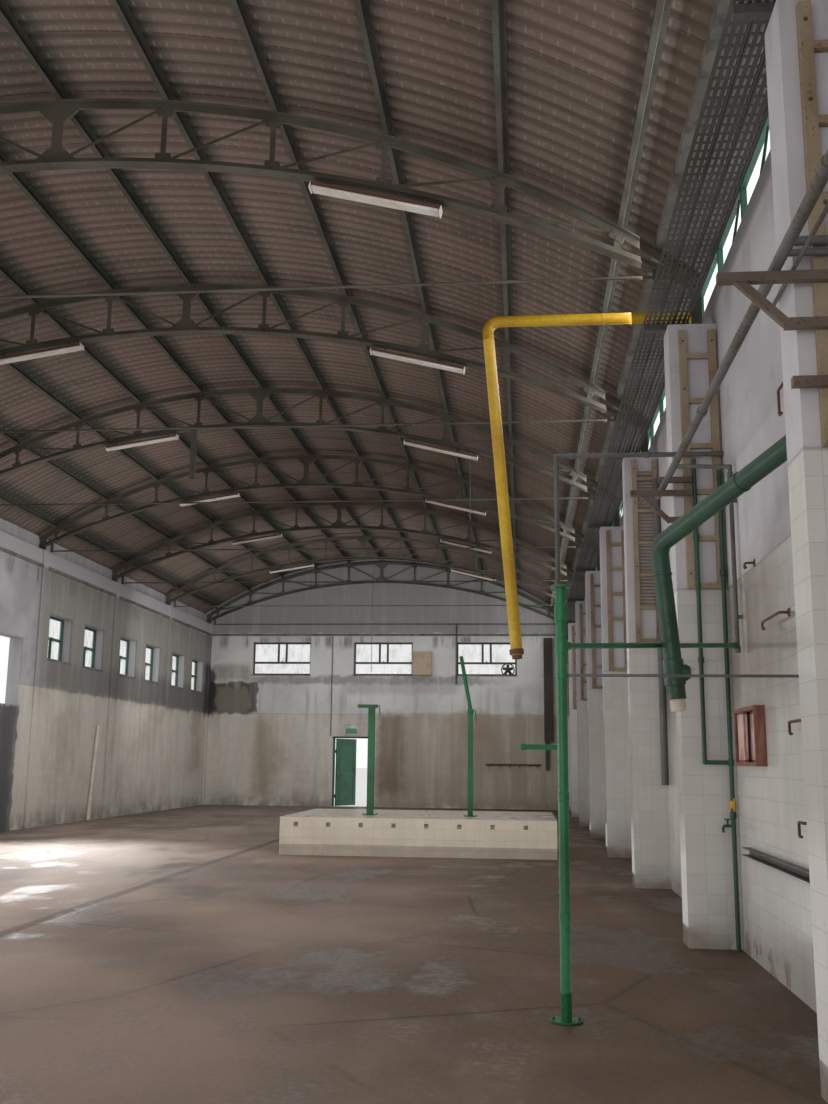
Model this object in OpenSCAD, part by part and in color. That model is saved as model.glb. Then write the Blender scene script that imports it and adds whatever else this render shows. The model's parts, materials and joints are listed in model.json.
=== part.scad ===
// Long factory hall with an arched roof on crescent lattice trusses.
// Millimetres, +Z up, +Y along the hall to the gable with the door, +X to the side with the deep piers.
// The origin is the middle of the ground face, and the floor inside is one slab thickness above it.

/* [Hall] */
// Distance from one roof truss to the next
bay_length = 4130; // [3900:10:4200]
// Number of bays between the gables
bay_count = 9; // [7:1:9]
// Clear width between the two side walls
hall_width = 11390; // [11200:10:11500]
// Thickness of every wall
wall_thickness = 280; // [240:5:320]
// Thickness of the floor slab
floor_thickness = 200; // [150:5:240]
// Distance from an end truss to the gable beside it
end_gap = 80; // [78:1:100]

/* [Roof] */
// Sideways shift of the arch from the middle of the hall
arch_shift = -300; // [-320:5:-280]
// Radius of the top chords
arch_radius = 9900; // [9850:10:10000]
// Height of the top chords above the floor at mid span
arch_rise = 7500; // [7450:5:7550]
// Height of the bottom chords above the floor at mid span
tie_rise = 6850; // [6800:5:6900]
// Height between the outer faces of the two chords at the trusses' right end
truss_end_depth = 124.6; // [120:0.1:140]
// Width of a chord's flange
chord_width = 130; // [100:2:140]
// Depth of a chord
chord_depth = 70; // [60:1:80]
// Thickness of a chord's flange
chord_flange = 8; // [6:1:12]
// Thickness of a chord's stem
stem_thickness = 20; // [15:1:26]
// Thickness of the web bars
web_thickness = 12; // [10:1:13]
// Width of the upright web bars
web_bar = 50; // [40:1:60]
// Width of the sloping web bars
brace_bar = 28; // [20:1:36]
// Distance from one purlin to the next, measured across the hall
purlin_pitch = 1040; // [1000:5:1045]
// Gap between a purlin's end and the gable
purlin_end_gap = 1; // [0.5:0.5:5]
// Depth of a purlin
purlin_depth = 120; // [100:1:140]
// Width of a purlin's flanges
purlin_flange = 50; // [40:1:60]
// Thickness of a purlin's metal
purlin_metal = 6; // [4:1:10]
// Depth of the roof sheets over their waves
sheet_depth = 40; // [30:1:50]
// Overhang of the sheets past the left wall
eave_overhang = 250; // [150:5:300]
// Overhang of the roof past each gable
verge_overhang = 100; // [60:5:150]
// Diameter of the level tie rods
tie_rod_d = 28; // [20:1:36]
// Drop of the tie rods below the ends of the bottom chords
tie_rod_drop = 69; // [65:1:90]

/* [Left wall] */
// Height of the beam under the left eave
eave_beam_height = 298.4; // [280:0.1:303]
// Height of the window sills above the floor
left_sill_height = 3385; // [3300:5:3450]
// Height of the windows
left_window_height = 935; // [850:5:1000]
// Width of a window
left_window_width = 1180; // [1100:5:1250]
// Distance from a truss line to the first window
first_window_at = 430; // [350:5:500]
// Distance from a truss line to the second window
second_window_at = 2310; // [2250:5:2400]
// Bay with the unglazed opening, counted from the front
open_bay = 6; // [2:1:7]
// Sill height of the unglazed opening above the floor
open_sill_height = 2370; // [2200:5:2500]
// Head height of the unglazed opening above the floor
open_head_height = 3680; // [3600:5:3800]
// Distance from the truss line to the unglazed opening
open_at = 720; // [600:5:800]
// Width of the unglazed opening
open_width = 2690; // [2500:5:2800]
// Width of the wall posts
pilaster_width = 250; // [200:5:300]
// How far the wall posts stand out
pilaster_depth = 30; // [20:1:50]
// Width of the beam under the left eave
eave_beam_width = 140; // [100:5:160]

/* [Right wall] */
// Height of the clerestory over the right wall
clerestory_height = 440; // [400:5:520]
// How far the piers stand out from the wall
pier_depth = 400; // [390:5:410]
// Width of a pier along the hall
pier_width = 300; // [280:5:340]
// Height of the truss shoes on the right
right_shoe_height = 98.6; // [90:0.1:110]
// Width of the steel posts on the piers
eave_post = 80; // [60:5:100]
// Height of the steel posts on the piers
eave_post_height = 390; // [350:5:420]
// Thickness of the slab over the clerestory
eave_slab_thickness = 82.7; // [80:0.1:90]
// Overhang of that slab past the right wall
eave_slab_overhang = 300; // [200:5:400]
// Lights of the clerestory in each bay
clerestory_lights = 4; // [3:1:5]
// Width of the perforated planks on the piers
tray_width = 380; // [350:5:390]
// Depth of those planks
tray_depth = 50; // [35:1:60]
// Thickness of the planks' metal
tray_metal = 6; // [4:1:10]
// Depth of the bearers under the planks
bearer_depth = 60; // [40:1:80]

/* [Gables] */
// Sill height of the gable windows above the floor
gable_sill_height = 3980; // [3900:5:4050]
// Height of the gable windows
gable_window_height = 1020; // [950:5:1050]
// Width of the gable windows
gable_window_width = 1850; // [1700:5:1950]
// Distance from one gable window to the next, middle to middle
gable_window_pitch = 3200; // [3000:5:3300]
// Place of the middle gable window from the middle of the hall
gable_window_shift = -230; // [-300:5:-150]
// Width of the frame bars in the windows
frame_bar = 40; // [30:1:50]
// Depth of the frame bars in the windows
frame_depth = 45; // [35:1:60]
// Thickness of the glass
glass_thickness = 6; // [4:1:8]

/* [Door] */
// Place of the door's middle from the middle of the hall
door_shift = -1190; // [-1300:5:-1100]
// Width of the doorway
door_width = 1120; // [1000:5:1200]
// Height of the doorway
door_height = 2100; // [2000:5:2200]
// Width of the door frame's members
door_frame_width = 50; // [40:1:60]
// Thickness of the door leaf
door_leaf_thickness = 40; // [35:1:50]
// Gap around the door leaf
door_gap = 8; // [7.5:0.5:12]
// Angle of the leaf in the pose shown
door_open_angle = 62; // [0:1:90]
// Radius of the hinge knuckles
knuckle_r = 12; // [10:1:14]
// Radius of the hinge pins
hinge_pin_r = 5; // [4:0.5:6]

/* [Fittings] */
// Length of a lamp
lamp_length = 1240; // [1100:5:1300]
// Width of a lamp
lamp_width = 160; // [120:5:180]
// Depth of a lamp
lamp_depth = 70; // [50:5:90]
// Drop of the lamps below the chord
lamp_drop = 60; // [40:5:90]
// Height of the tiled platform
platform_height = 550; // [450:5:600]
// Diameter of the yellow pipe
yellow_pipe_d = 108; // [90:1:120]
// Diameter of the large green pipe
green_pipe_d = 120; // [100:1:130]
// Diameter of the green standpipe
pole_d = 60; // [48:1:70]
// Diameter of the small pipes
small_pipe_d = 34; // [26:1:42]
// Height where the pipe rack frames start above the floor
rack_bottom = 2780; // [2700:5:2850]
// Distance from the top of a pipe rack frame to the top of its pier
rack_top_gap = 70; // [40:5:120]
// Width of a pipe rack frame
rack_width = 300; // [280:1:345]
// Distance between the rungs of a pipe rack frame
rung_pitch = 390; // [350:5:430]

/* [Hidden] */
$fn = 48;

// Clearance where a curved face lies on another piece
seat_gap = 0.3;
floor_z = floor_thickness;
hall_length = bay_count * bay_length + 2 * end_gap;
inside_x = hall_width / 2;
inside_y = hall_length / 2;
outside_x = inside_x + wall_thickness;
outside_y = inside_y + wall_thickness;
roof_end_y = outside_y + verge_overhang;
pier_face_x = inside_x - pier_depth;
eave_post_x = pier_face_x + 225;
truss_left_x = -outside_x + eave_beam_width;
truss_right_x = eave_post_x + eave_post + 15;
arch_centre_z = floor_z + arch_rise - arch_radius;
gable_radius = arch_radius + purlin_depth;
sheet_radius = gable_radius + seat_gap;
left_top_z = arch_height(sheet_radius, -outside_x) - eave_beam_height;
right_seat_z = arch_height(arch_radius, truss_right_x) - right_shoe_height;
pier_top_z = right_seat_z - eave_post_height;

// The slab over the clerestory reaches under the lower edge of the roof sheets
eave_slab_x = pier_face_x - 65;
sheet_right_x = eave_slab_x + 80;
eave_slab_top = arch_height(sheet_radius, sheet_right_x);
eave_slab_z = eave_slab_top - eave_slab_thickness;
right_top_z = eave_slab_z - clerestory_height;

// The bottom chord's arc passes through its middle and a point under the top chord's right end
tie_top_z = floor_z + tie_rise;
tie_reach = truss_right_x - arch_shift;
tie_fall = tie_top_z - arch_height(arch_radius, truss_right_x) + truss_end_depth;
tie_radius = (tie_reach * tie_reach + tie_fall * tie_fall) / (2 * tie_fall);
tie_centre_z = tie_top_z - tie_radius;

// Purlins that fit on either side of the one at the ridge
left_purlins = floor((arch_shift - truss_left_x) / purlin_pitch);
right_purlins = floor((eave_slab_x - 10 - purlin_flange - arch_shift) / purlin_pitch);
wall_colour = "lightgray";
steel_colour = "dimgray";
frame_colour = "seagreen";
pipe_green = "green";
rack_colour = "tan";

function truss_y(k) = -inside_y + end_gap + k * bay_length;
function arch_angle(radius, x) = asin((x - arch_shift) / radius);
function arch_height(radius, x) = arch_centre_z + sqrt(radius * radius - pow(x - arch_shift, 2));
function tie_height(x) = tie_centre_z + sqrt(tie_radius * tie_radius - pow(x - arch_shift, 2));

// Box from its low corner to its high corner
module block(low, high) {
    translate(low) cube(high - low);
}

// Round bar from one point to another
module rod(from, to, d, sides = 32) {
    way = to - from;
    turn = atan2(way[1], way[0]);
    tilt = acos(way[2] / norm(way));
    translate(from) rotate([0, tilt, turn]) cylinder(h = norm(way), d = d, $fn = sides);
}

// Ring about a level axis along the hall, from one radius to another
module arch_ring(centre_z, low_radius, high_radius, length) {
    translate([arch_shift, 0, centre_z]) rotate([90, 0, 0]) difference() {
        cylinder(h = length, r = high_radius, center = true, $fn = 360);
        cylinder(h = length + 2, r = low_radius, center = true, $fn = 360);
    }
}

// Flat bar in the plane of a truss from one point to another, both given as [x, z]
module web(from, to, width, thickness = web_thickness) {
    way = to - from;
    translate([from[0], 0, from[1]]) rotate([0, -atan2(way[1], way[0]), 0])
        translate([0, -thickness / 2, -width / 2]) cube([norm(way), thickness, width]);
}

module floor_slab() {
    color("gray") {
        block([-inside_x, -inside_y, 0], [inside_x, inside_y, floor_z]);
        block([door_low_x, inside_y - 1, 0], [door_high_x, outside_y, floor_z]);
    }
}

// Left wall
left_sill_z = floor_z + left_sill_height;
left_head_z = left_sill_z + left_window_height;
open_y = truss_y(open_bay - 1) + open_at;
open_sill_z = floor_z + open_sill_height;
open_head_z = floor_z + open_head_height;

// Starts of the glazed windows along the left wall
left_windows = [for (k = [0 : bay_count - 1], at = [first_window_at, second_window_at])
    if (k != open_bay - 1) truss_y(k) + at];

module left_wall_box(y_low, y_high, z_low, z_high) {
    block([-outside_x, y_low, z_low], [-inside_x, y_high, z_high]);
}

module left_wall_lower() {
    color(wall_colour) difference() {
        left_wall_box(-inside_y, inside_y, 0, left_sill_z);
        translate([0, open_y, open_sill_z]) block([-outside_x - 1, 0, 0], [-inside_x + 1, open_width, left_sill_z]);
    }
}

module left_wall_window_piers() {
    color(wall_colour) difference() {
        left_wall_box(-inside_y, inside_y, left_sill_z, left_head_z);
        for (y = left_windows)
            left_wall_cut(y, left_window_width, left_sill_z - 1, left_head_z + 1);
        left_wall_cut(open_y, open_width, left_sill_z - 1, open_head_z);
    }
}

module left_wall_cut(y, width, z_low, z_high) {
    block([-outside_x - 1, y, z_low], [-inside_x + 1, y + width, z_high]);
}

module left_wall_upper() {
    color(wall_colour) {
        left_wall_box(-inside_y, inside_y, left_head_z, left_top_z);
        block([-outside_x, -inside_y, left_top_z - 1],
              [-outside_x + eave_beam_width, inside_y, arch_height(sheet_radius, -outside_x)]);
    }
}

// Part of the hall's length that a post or pier of this width takes at truss line k
function post_low(k, width) = max(truss_y(k) - width / 2, -inside_y);
function post_high(k, width) = min(truss_y(k) + width / 2, inside_y);

module left_wall_pilasters() {
    color(wall_colour) for (k = [0 : bay_count])
        block([-inside_x, post_low(k, pilaster_width), floor_z],
              [-inside_x + pilaster_depth, post_high(k, pilaster_width), left_top_z]);
}

// Right wall
module right_wall() {
    color(wall_colour) block([inside_x, -inside_y, 0], [outside_x, inside_y, right_top_z]);
}

module right_wall_piers() {
    color(wall_colour) for (k = [0 : bay_count])
        block([pier_face_x, post_low(k, pier_width), floor_z],
              [inside_x, post_high(k, pier_width), pier_top_z]);
}

module eave_posts() {
    color(steel_colour) for (k = [0 : bay_count])
        block([eave_post_x, truss_y(k) - eave_post / 2, pier_top_z],
              [eave_post_x + eave_post, truss_y(k) + eave_post / 2, right_seat_z]);
}

module eave_slab() {
    color("darkgray")
        block([eave_slab_x, -roof_end_y, eave_slab_z], [outside_x + eave_slab_overhang, roof_end_y, eave_slab_top]);
}

// Frame with upright bars, in the plane across X, low corner at [x, y, z]
module side_frame(x, y, z, length, height, uprights) {
    difference() {
        translate([x, y, z]) cube([frame_depth, length, height]);
        light = (length - frame_bar * (uprights + 1)) / uprights;
        for (i = [0 : uprights - 1])
            translate([x - 1, y + frame_bar + i * (light + frame_bar), z + frame_bar])
                cube([frame_depth + 2, light, height - 2 * frame_bar]);
    }
}

clerestory_x = inside_x + 60;

module clerestory_frames() {
    color(frame_colour)
        side_frame(clerestory_x, -inside_y, right_top_z, 2 * inside_y, eave_slab_z - right_top_z,
                   clerestory_lights * bay_count);
}

// Gables
gable_sill_z = floor_z + gable_sill_height;
gable_head_z = gable_sill_z + gable_window_height;
gable_windows = [for (i = [-1 : 1]) gable_window_shift + i * gable_window_pitch - gable_window_width / 2];
door_low_x = door_shift - door_width / 2;
door_high_x = door_shift + door_width / 2;
door_top_z = floor_z + door_height;

// Wall piece of a gable; side is 1 for the back and -1 for the front
module gable_box(side, x_low, x_high, z_low, z_high) {
    y_low = side > 0 ? inside_y : -outside_y;
    block([x_low, y_low, z_low], [x_high, y_low + wall_thickness, z_high]);
}

module gable_piers(side) {
    difference() {
        gable_box(side, -outside_x, outside_x, gable_sill_z, gable_head_z);
        for (x = gable_windows)
            block([x, -outside_y - 1, gable_sill_z - 1], [x + gable_window_width, outside_y + 1, gable_head_z + 1]);
    }
}

// Top of a gable: the arch of the sheets, cut level under the eave slab
module gable_top(side) {
    y_low = side > 0 ? inside_y : -outside_y;
    intersection() {
        translate([arch_shift, y_low, arch_centre_z]) rotate([-90, 0, 0])
            cylinder(h = wall_thickness, r = gable_radius, $fn = 360);
        gable_box(side, -outside_x, eave_slab_x, gable_head_z, arch_centre_z + gable_radius + 1);
    }
    gable_box(side, eave_slab_x, outside_x, gable_head_z, eave_slab_z);
}

module back_wall_left() {
    color(wall_colour) gable_box(1, -outside_x, door_low_x, 0, gable_sill_z);
}

module back_wall_right() {
    color(wall_colour) gable_box(1, door_high_x, outside_x, 0, gable_sill_z);
}

module back_wall_over_door() {
    color(wall_colour) gable_box(1, door_low_x, door_high_x, door_top_z, gable_sill_z);
}

module back_window_piers() {
    color(wall_colour) gable_piers(1);
}

module back_gable() {
    color(wall_colour) gable_top(1);
}

module front_wall_lower() {
    color(wall_colour) gable_box(-1, -outside_x, outside_x, 0, gable_sill_z);
}

module front_window_piers() {
    color(wall_colour) gable_piers(-1);
}

module front_gable() {
    color(wall_colour) gable_top(-1);
}

// Ledge along the left wall between its posts, and along the back wall
ledge_z = left_top_z - 370;
ledge_height = 60;
ledge_depth = 45;

module wall_ledges() {
    color("darkgray") {
        for (k = [0 : bay_count - 1])
            block([-inside_x, post_high(k, pilaster_width), ledge_z],
                  [-inside_x + ledge_depth, post_low(k + 1, pilaster_width), ledge_z + ledge_height]);
        block([-inside_x + ledge_depth, inside_y - ledge_depth, ledge_z],
              [inside_x - pier_depth, inside_y, ledge_z + ledge_height]);
    }
}

// Window frames and glass
window_set_back = 40;
transom_share = 0.47;
gable_lower_share = 0.36;

// Frame of a left window: one wide light over two
module left_frame(y) {
    x = -outside_x + window_set_back;
    height = left_window_height;
    light = (left_window_width - 3 * frame_bar) / 2;
    lower = height * transom_share - frame_bar;
    upper = height - lower - 3 * frame_bar;
    difference() {
        translate([x, y, left_sill_z]) cube([frame_depth, left_window_width, height]);
        translate([x - 1, y + frame_bar, left_sill_z + lower + 2 * frame_bar])
            cube([frame_depth + 2, left_window_width - 2 * frame_bar, upper]);
        for (i = [0 : 1])
            translate([x - 1, y + frame_bar + i * (light + frame_bar), left_sill_z + frame_bar])
                cube([frame_depth + 2, light, lower]);
    }
}

// Frame of a gable window: a narrow light between two wide ones, over one long low one
narrow_light = 210;

module gable_frame(side, x) {
    y = side > 0 ? outside_y - window_set_back - frame_depth : -outside_y + window_set_back;
    wide_light = (gable_window_width - narrow_light - 4 * frame_bar) / 2;
    lights = [wide_light, narrow_light, wide_light];
    starts = [frame_bar, wide_light + 2 * frame_bar, wide_light + narrow_light + 3 * frame_bar];
    lower = gable_window_height * gable_lower_share - frame_bar;
    upper = gable_window_height - lower - 3 * frame_bar;
    difference() {
        translate([x, y, gable_sill_z]) cube([gable_window_width, frame_depth, gable_window_height]);
        translate([x + frame_bar, y - 1, gable_sill_z + frame_bar])
            cube([gable_window_width - 2 * frame_bar, frame_depth + 2, lower]);
        for (i = [0 : 2])
            translate([x + starts[i], y - 1, gable_sill_z + lower + 2 * frame_bar])
                cube([lights[i], frame_depth + 2, upper]);
    }
}

module window_frames() {
    color(frame_colour) {
        for (y = left_windows) left_frame(y);
        for (side = [-1, 1], x = gable_windows) gable_frame(side, x);
    }
}

module window_glass() {
    left_x = -outside_x + window_set_back - glass_thickness;
    color("lightcyan", 0.4) {
        for (y = left_windows)
            block([left_x, y, left_sill_z], [left_x + glass_thickness, y + left_window_width, left_head_z]);
        for (side = [-1, 1], x = gable_windows) {
            y = side > 0 ? outside_y - window_set_back : -outside_y + window_set_back - glass_thickness;
            block([x, y, gable_sill_z], [x + gable_window_width, y + glass_thickness, gable_head_z]);
        }
        block([clerestory_x + frame_depth, -inside_y, right_top_z],
              [clerestory_x + frame_depth + glass_thickness, inside_y, eave_slab_z]);
    }
}

// Trusses
right_lug_x = inside_x - 495;
left_lug_x = -inside_x + 95;
lug_length = 60;
tie_rod_z = tie_height(right_lug_x) - tie_rod_drop;
king_bar = 100;
gusset = 190;
brace_thickness = web_thickness - 4;
shoe_width = chord_width + 20;
shoe_plate = 12;

module top_chord() {
    arch_ring(arch_centre_z, arch_radius - chord_flange, arch_radius, chord_width);
    arch_ring(arch_centre_z, arch_radius - chord_depth, arch_radius - chord_flange / 2, stem_thickness);
}

module bottom_chord() {
    arch_ring(tie_centre_z, tie_radius, tie_radius + chord_flange, chord_width);
    arch_ring(tie_centre_z, tie_radius + chord_flange / 2, tie_radius + chord_depth, stem_thickness);
}

// Points on the middle of each chord at a purlin line
function top_node(i) = let (x = arch_shift + i * purlin_pitch)
    [x, arch_height(arch_radius, x) - chord_depth / 2];
function bottom_node(i) = let (x = arch_shift + i * purlin_pitch)
    [x, tie_height(x) + chord_depth / 2];

// Flared plates where the king post meets the chords
module king_gusset(z, up) {
    translate([arch_shift, 0, z]) scale([1, 1, up]) rotate([90, 0, 0])
        translate([0, 0, -stem_thickness / 2 - 3]) linear_extrude(stem_thickness + 6)
            polygon([[-gusset, 0], [-gusset, 70], [-king_bar / 2, 190], [king_bar / 2, 190], [gusset, 70],
                     [gusset, 0]]);
}

module truss() {
    intersection() {
        union() {
            top_chord();
            bottom_chord();
            for (i = [-left_purlins : right_purlins])
                web(bottom_node(i), top_node(i), i == 0 ? king_bar : web_bar);
            for (i = [1 : right_purlins])
                web(bottom_node(i - 1), top_node(i), brace_bar, brace_thickness);
            for (i = [1 : left_purlins])
                web(bottom_node(1 - i), top_node(-i), brace_bar, brace_thickness);
            king_gusset(bottom_node(0)[1] - 30, 1);
            king_gusset(top_node(0)[1] + 20, -1);
            for (side = [-1, 1]) truss_shoe(side);
            tie_lug(left_lug_x);
            tie_lug(right_lug_x);
        }
        block([truss_left_x, -chord_width, right_seat_z], [truss_right_x, chord_width, 2 * arch_radius]);
    }
}

// Plate on which a truss stands at either end
module truss_shoe(side) {
    x_low = side < 0 ? truss_left_x : eave_post_x - 15;
    x_high = side < 0 ? -inside_x : truss_right_x;
    seat_z = side < 0 ? left_top_z : right_seat_z;
    shoe_top = arch_height(arch_radius, side < 0 ? truss_left_x : truss_right_x) - chord_flange;
    block([x_low, -shoe_width / 2, seat_z], [x_high, shoe_width / 2, seat_z + shoe_plate]);
    block([x_low, -stem_thickness / 2 - 3, seat_z], [x_high, stem_thickness / 2 + 3, shoe_top]);
}

// Plate under the bottom chord that takes the end of a tie rod
module tie_lug(x) {
    block([x, -web_thickness / 2, tie_rod_z - tie_rod_d],
          [x + lug_length, web_thickness / 2, tie_height(x) + chord_depth / 2]);
}

module trusses(first, last) {
    color(steel_colour) for (k = [first : last]) translate([0, truss_y(k), 0]) truss();
}

third = floor(bay_count / 3);

module trusses_front() {
    trusses(0, third - 1);
}

module trusses_middle() {
    trusses(third, 2 * third);
}

module trusses_back() {
    trusses(2 * third + 1, bay_count);
}

module tie_rods() {
    color(steel_colour) for (k = [0 : bay_count])
        rod([left_lug_x + lug_length, truss_y(k), tie_rod_z], [right_lug_x, truss_y(k), tie_rod_z], tie_rod_d);
}

module purlin_profile() {
    square([purlin_metal, purlin_depth]);
    square([purlin_flange, purlin_metal]);
    translate([0, purlin_depth - purlin_metal]) square([purlin_flange, purlin_metal]);
}

module purlins() {
    length = hall_length - 2 * purlin_end_gap;
    color(steel_colour) for (i = [-left_purlins : right_purlins])
        translate([arch_shift, length / 2, arch_centre_z])
            rotate([0, arch_angle(arch_radius, arch_shift + i * purlin_pitch), 0])
                translate([0, 0, arch_radius]) rotate([90, 0, 0]) linear_extrude(length) purlin_profile();
}

// Roof shell from the ridge down towards the left, reaching this far across
module roof_shell(reach) {
    color("rosybrown") rotate([90, 0, 0]) rotate([0, 0, 90])
        rotate_extrude(angle = asin(reach / sheet_radius), $fn = 180)
            translate([sheet_radius, -roof_end_y]) square([sheet_depth, 2 * roof_end_y]);
}

module roof_sheets_left() {
    translate([arch_shift, 0, arch_centre_z]) roof_shell(outside_x + eave_overhang + arch_shift);
}

module roof_sheets_right() {
    translate([arch_shift, 0, arch_centre_z]) mirror([1, 0, 0]) roof_shell(sheet_right_x - arch_shift);
}

// Door in the back wall, hinged on its left post and opening outwards
hinge_x = door_low_x + door_frame_width + door_gap;
hinge_y = outside_y + knuckle_r;
hinge_heights = [250, 1600];
knuckle_h = 50;
hinge_plate = 8;
hinge_play = 0.1;
leaf_width = door_width - 2 * door_frame_width - 2 * door_gap;
leaf_height = door_height - door_frame_width - 2 * door_gap;

module door_frame() {
    color(frame_colour) {
        difference() {
            block([door_low_x, outside_y - 100, floor_z], [door_high_x, outside_y, door_top_z]);
            block([door_low_x + door_frame_width, outside_y - 101, floor_z - 1],
                  [door_high_x - door_frame_width, outside_y + 1, door_top_z - door_frame_width]);
        }
        for (z = hinge_heights) translate([0, 0, floor_z + z]) {
            block([hinge_x - 44, outside_y, 0], [hinge_x, outside_y + hinge_plate, knuckle_h]);
            translate([hinge_x, hinge_y, 0]) cylinder(h = knuckle_h, r = knuckle_r - 0.5);
            translate([hinge_x, hinge_y, 0]) cylinder(h = 2 * knuckle_h + 5, r = hinge_pin_r);
        }
    }
}

module door_leaf() {
    color(frame_colour) translate([hinge_x, hinge_y, floor_z]) rotate([0, 0, door_open_angle]) {
        block([0, -knuckle_r - door_leaf_thickness, door_gap], [leaf_width, -knuckle_r, door_gap + leaf_height]);
        for (z = hinge_heights) translate([0, 0, z + knuckle_h + 1]) difference() {
            union() {
                cylinder(h = knuckle_h - 1, r = knuckle_r);
                block([0, -knuckle_r, 0], [44, -knuckle_r + hinge_plate, knuckle_h - 1]);
            }
            translate([0, 0, -1]) cylinder(h = knuckle_h + 1, r = hinge_pin_r + hinge_play);
        }
    }
}

// Perforated planks that run from pier to pier on bearers
tray_x = eave_post_x - 35 - tray_width;

module perforated_tray() {
    tray_z = pier_top_z + bearer_depth;
    color(steel_colour) {
        difference() {
            block([tray_x, -inside_y, tray_z], [tray_x + tray_width, inside_y, tray_z + tray_depth]);
            block([tray_x + tray_metal, -inside_y - 1, tray_z + tray_metal],
                  [tray_x + tray_width - tray_metal, inside_y + 1, tray_z + tray_depth + 1]);
        }
        for (k = [0 : bay_count])
            block([tray_x, truss_y(k) - 30, pier_top_z], [tray_x + tray_width, truss_y(k) + 30, tray_z]);
    }
}

// Upright ladder frames on the near side of the piers
rack_post = 60;
rack_post_depth = 50;
rack_wall_gap = 20;
rung = 40;
rack_x = inside_x - rack_wall_gap - rack_width;
rack_z = floor_z + rack_bottom;
rack_top_z = pier_top_z - rack_top_gap;

// Near face of a pier, and of the ladder frame on it
function pier_front(k) = truss_y(k) - pier_width / 2;
function rack_front(k) = pier_front(k) - rack_post_depth;

module rack_frame(k) {
    rungs = floor((rack_top_z - rack_z - rung) / rung_pitch);
    for (x = [rack_x, rack_x + rack_width - rack_post])
        block([x, rack_front(k), rack_z], [x + rack_post, pier_front(k), rack_top_z]);
    for (i = [0 : rungs])
        block([rack_x + rack_post - 1, rack_front(k) + 5, rack_z + i * rung_pitch],
              [rack_x + rack_width - rack_post + 1, pier_front(k) - 5, rack_z + i * rung_pitch + rung]);
}

module pipe_rack_frames() {
    color(rack_colour) for (k = [1 : bay_count]) rack_frame(k);
}

// Brackets on the ladder frames: an arm with a bent brace under it
bracket_z = floor_z + 3540;
bracket_bar = 45;
bracket_reach = 360;
bracket_fall = 225;
bracket_end_x = rack_x + rack_post;

module bracket_arm(k, reach, z) {
    block([pier_face_x - reach, rack_front(k) - bracket_bar, z],
          [bracket_end_x, rack_front(k), z + bracket_bar]);
}

module bracket(k) {
    bend = [pier_face_x - 60, bracket_z - bracket_fall + bracket_bar / 2];
    start = [bend[0] - 220, bracket_z + bracket_bar / 2];
    bracket_arm(k, bracket_reach, bracket_z);
    bracket_arm(k, 70, bracket_z - bracket_fall);
    translate([0, rack_front(k) - bracket_bar / 2, 0]) web(start, bend, bracket_bar - 6, bracket_bar - 10);
}

module pipe_brackets() {
    color(rack_colour) {
        for (k = [1 : 3]) bracket(k);
        bracket_arm(2, 50, bracket_z - 500);
        bracket_arm(3, 130, bracket_z + 110);
    }
}

// Pipes
module elbow(point, d) {
    translate(point) sphere(d = d * 1.12, $fn = 32);
}

// Yellow pipe between the planks and the slab, bent down where it leaves the wall
yellow_reach = 1968;
yellow_fall = 3240;
yellow_lean = 268;
yellow_corner = [inside_x - yellow_reach, truss_y(3) + 1000, eave_slab_z - 230];

module yellow_pipe() {
    color("gold") {
        rod(yellow_corner, [clerestory_x, yellow_corner[1], yellow_corner[2]], yellow_pipe_d);
        rod(yellow_corner, yellow_corner + [yellow_lean, 0, -yellow_fall], yellow_pipe_d);
        elbow(yellow_corner, yellow_pipe_d);
    }
}

// Green pole with a branch to the grey pipe on the wall, and the bent standpipe beyond it
pole_foot = [inside_x - 1430, truss_y(3) - 2750, floor_z];
pole_height = 2400;
pole_branch_height = 2050;
pole_brace_height = 1880;
pole_plate = 12;
elbow_foot = [inside_x - 1245, truss_y(4) - 930, floor_z];
elbow_height = 1550;
elbow_reach = 430;
grey_drop_foot = [inside_x - 45, truss_y(3) - 705, floor_z + 2215];
grey_drop_top_z = floor_z + 3650;

module green_standpipes() {
    elbow_top = elbow_foot + [0, 0, elbow_height];
    branch_end = [grey_drop_foot[0], grey_drop_foot[1], grey_drop_foot[2] + 50];
    color(pipe_green) {
        rod(pole_foot, pole_foot + [0, 0, pole_height], pole_d);
        rod(pole_foot + [0, 0, pole_brace_height], [inside_x, pole_foot[1], floor_z + pole_brace_height],
            small_pipe_d / 2);
        translate(pole_foot) cylinder(h = pole_plate, d = 3 * pole_d);
        translate(pole_foot + [0, 0, pole_height - pole_plate]) cylinder(h = pole_plate, d = 2 * pole_d);
        difference() {
            rod(pole_foot + [0, 0, pole_branch_height], branch_end, small_pipe_d);
            translate(grey_drop_foot) translate([0, 0, -50])
                cylinder(h = 300, d = small_pipe_d + 2 * seat_gap, $fn = 32);
            block([grey_drop_foot[0], grey_drop_foot[1] - 100, floor_z],
                  [inside_x, grey_drop_foot[1] + 100, pier_top_z]);
        }
        rod(elbow_foot, elbow_top, pole_d);
        rod(elbow_top, elbow_top - [elbow_reach, 0, 0], pole_d);
        elbow(elbow_top, pole_d);
    }
}

// Large pipe that comes out of the wall and drops
drop_corner = [inside_x - 737, truss_y(3) - 1780, floor_z + 2825];
drop_wall_point = [inside_x + 89, truss_y(3) - 3400, floor_z + 3299];
drop_fall = 1025;
drop_lean = 88;
drop_outlet = [215, 0, -850];

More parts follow.
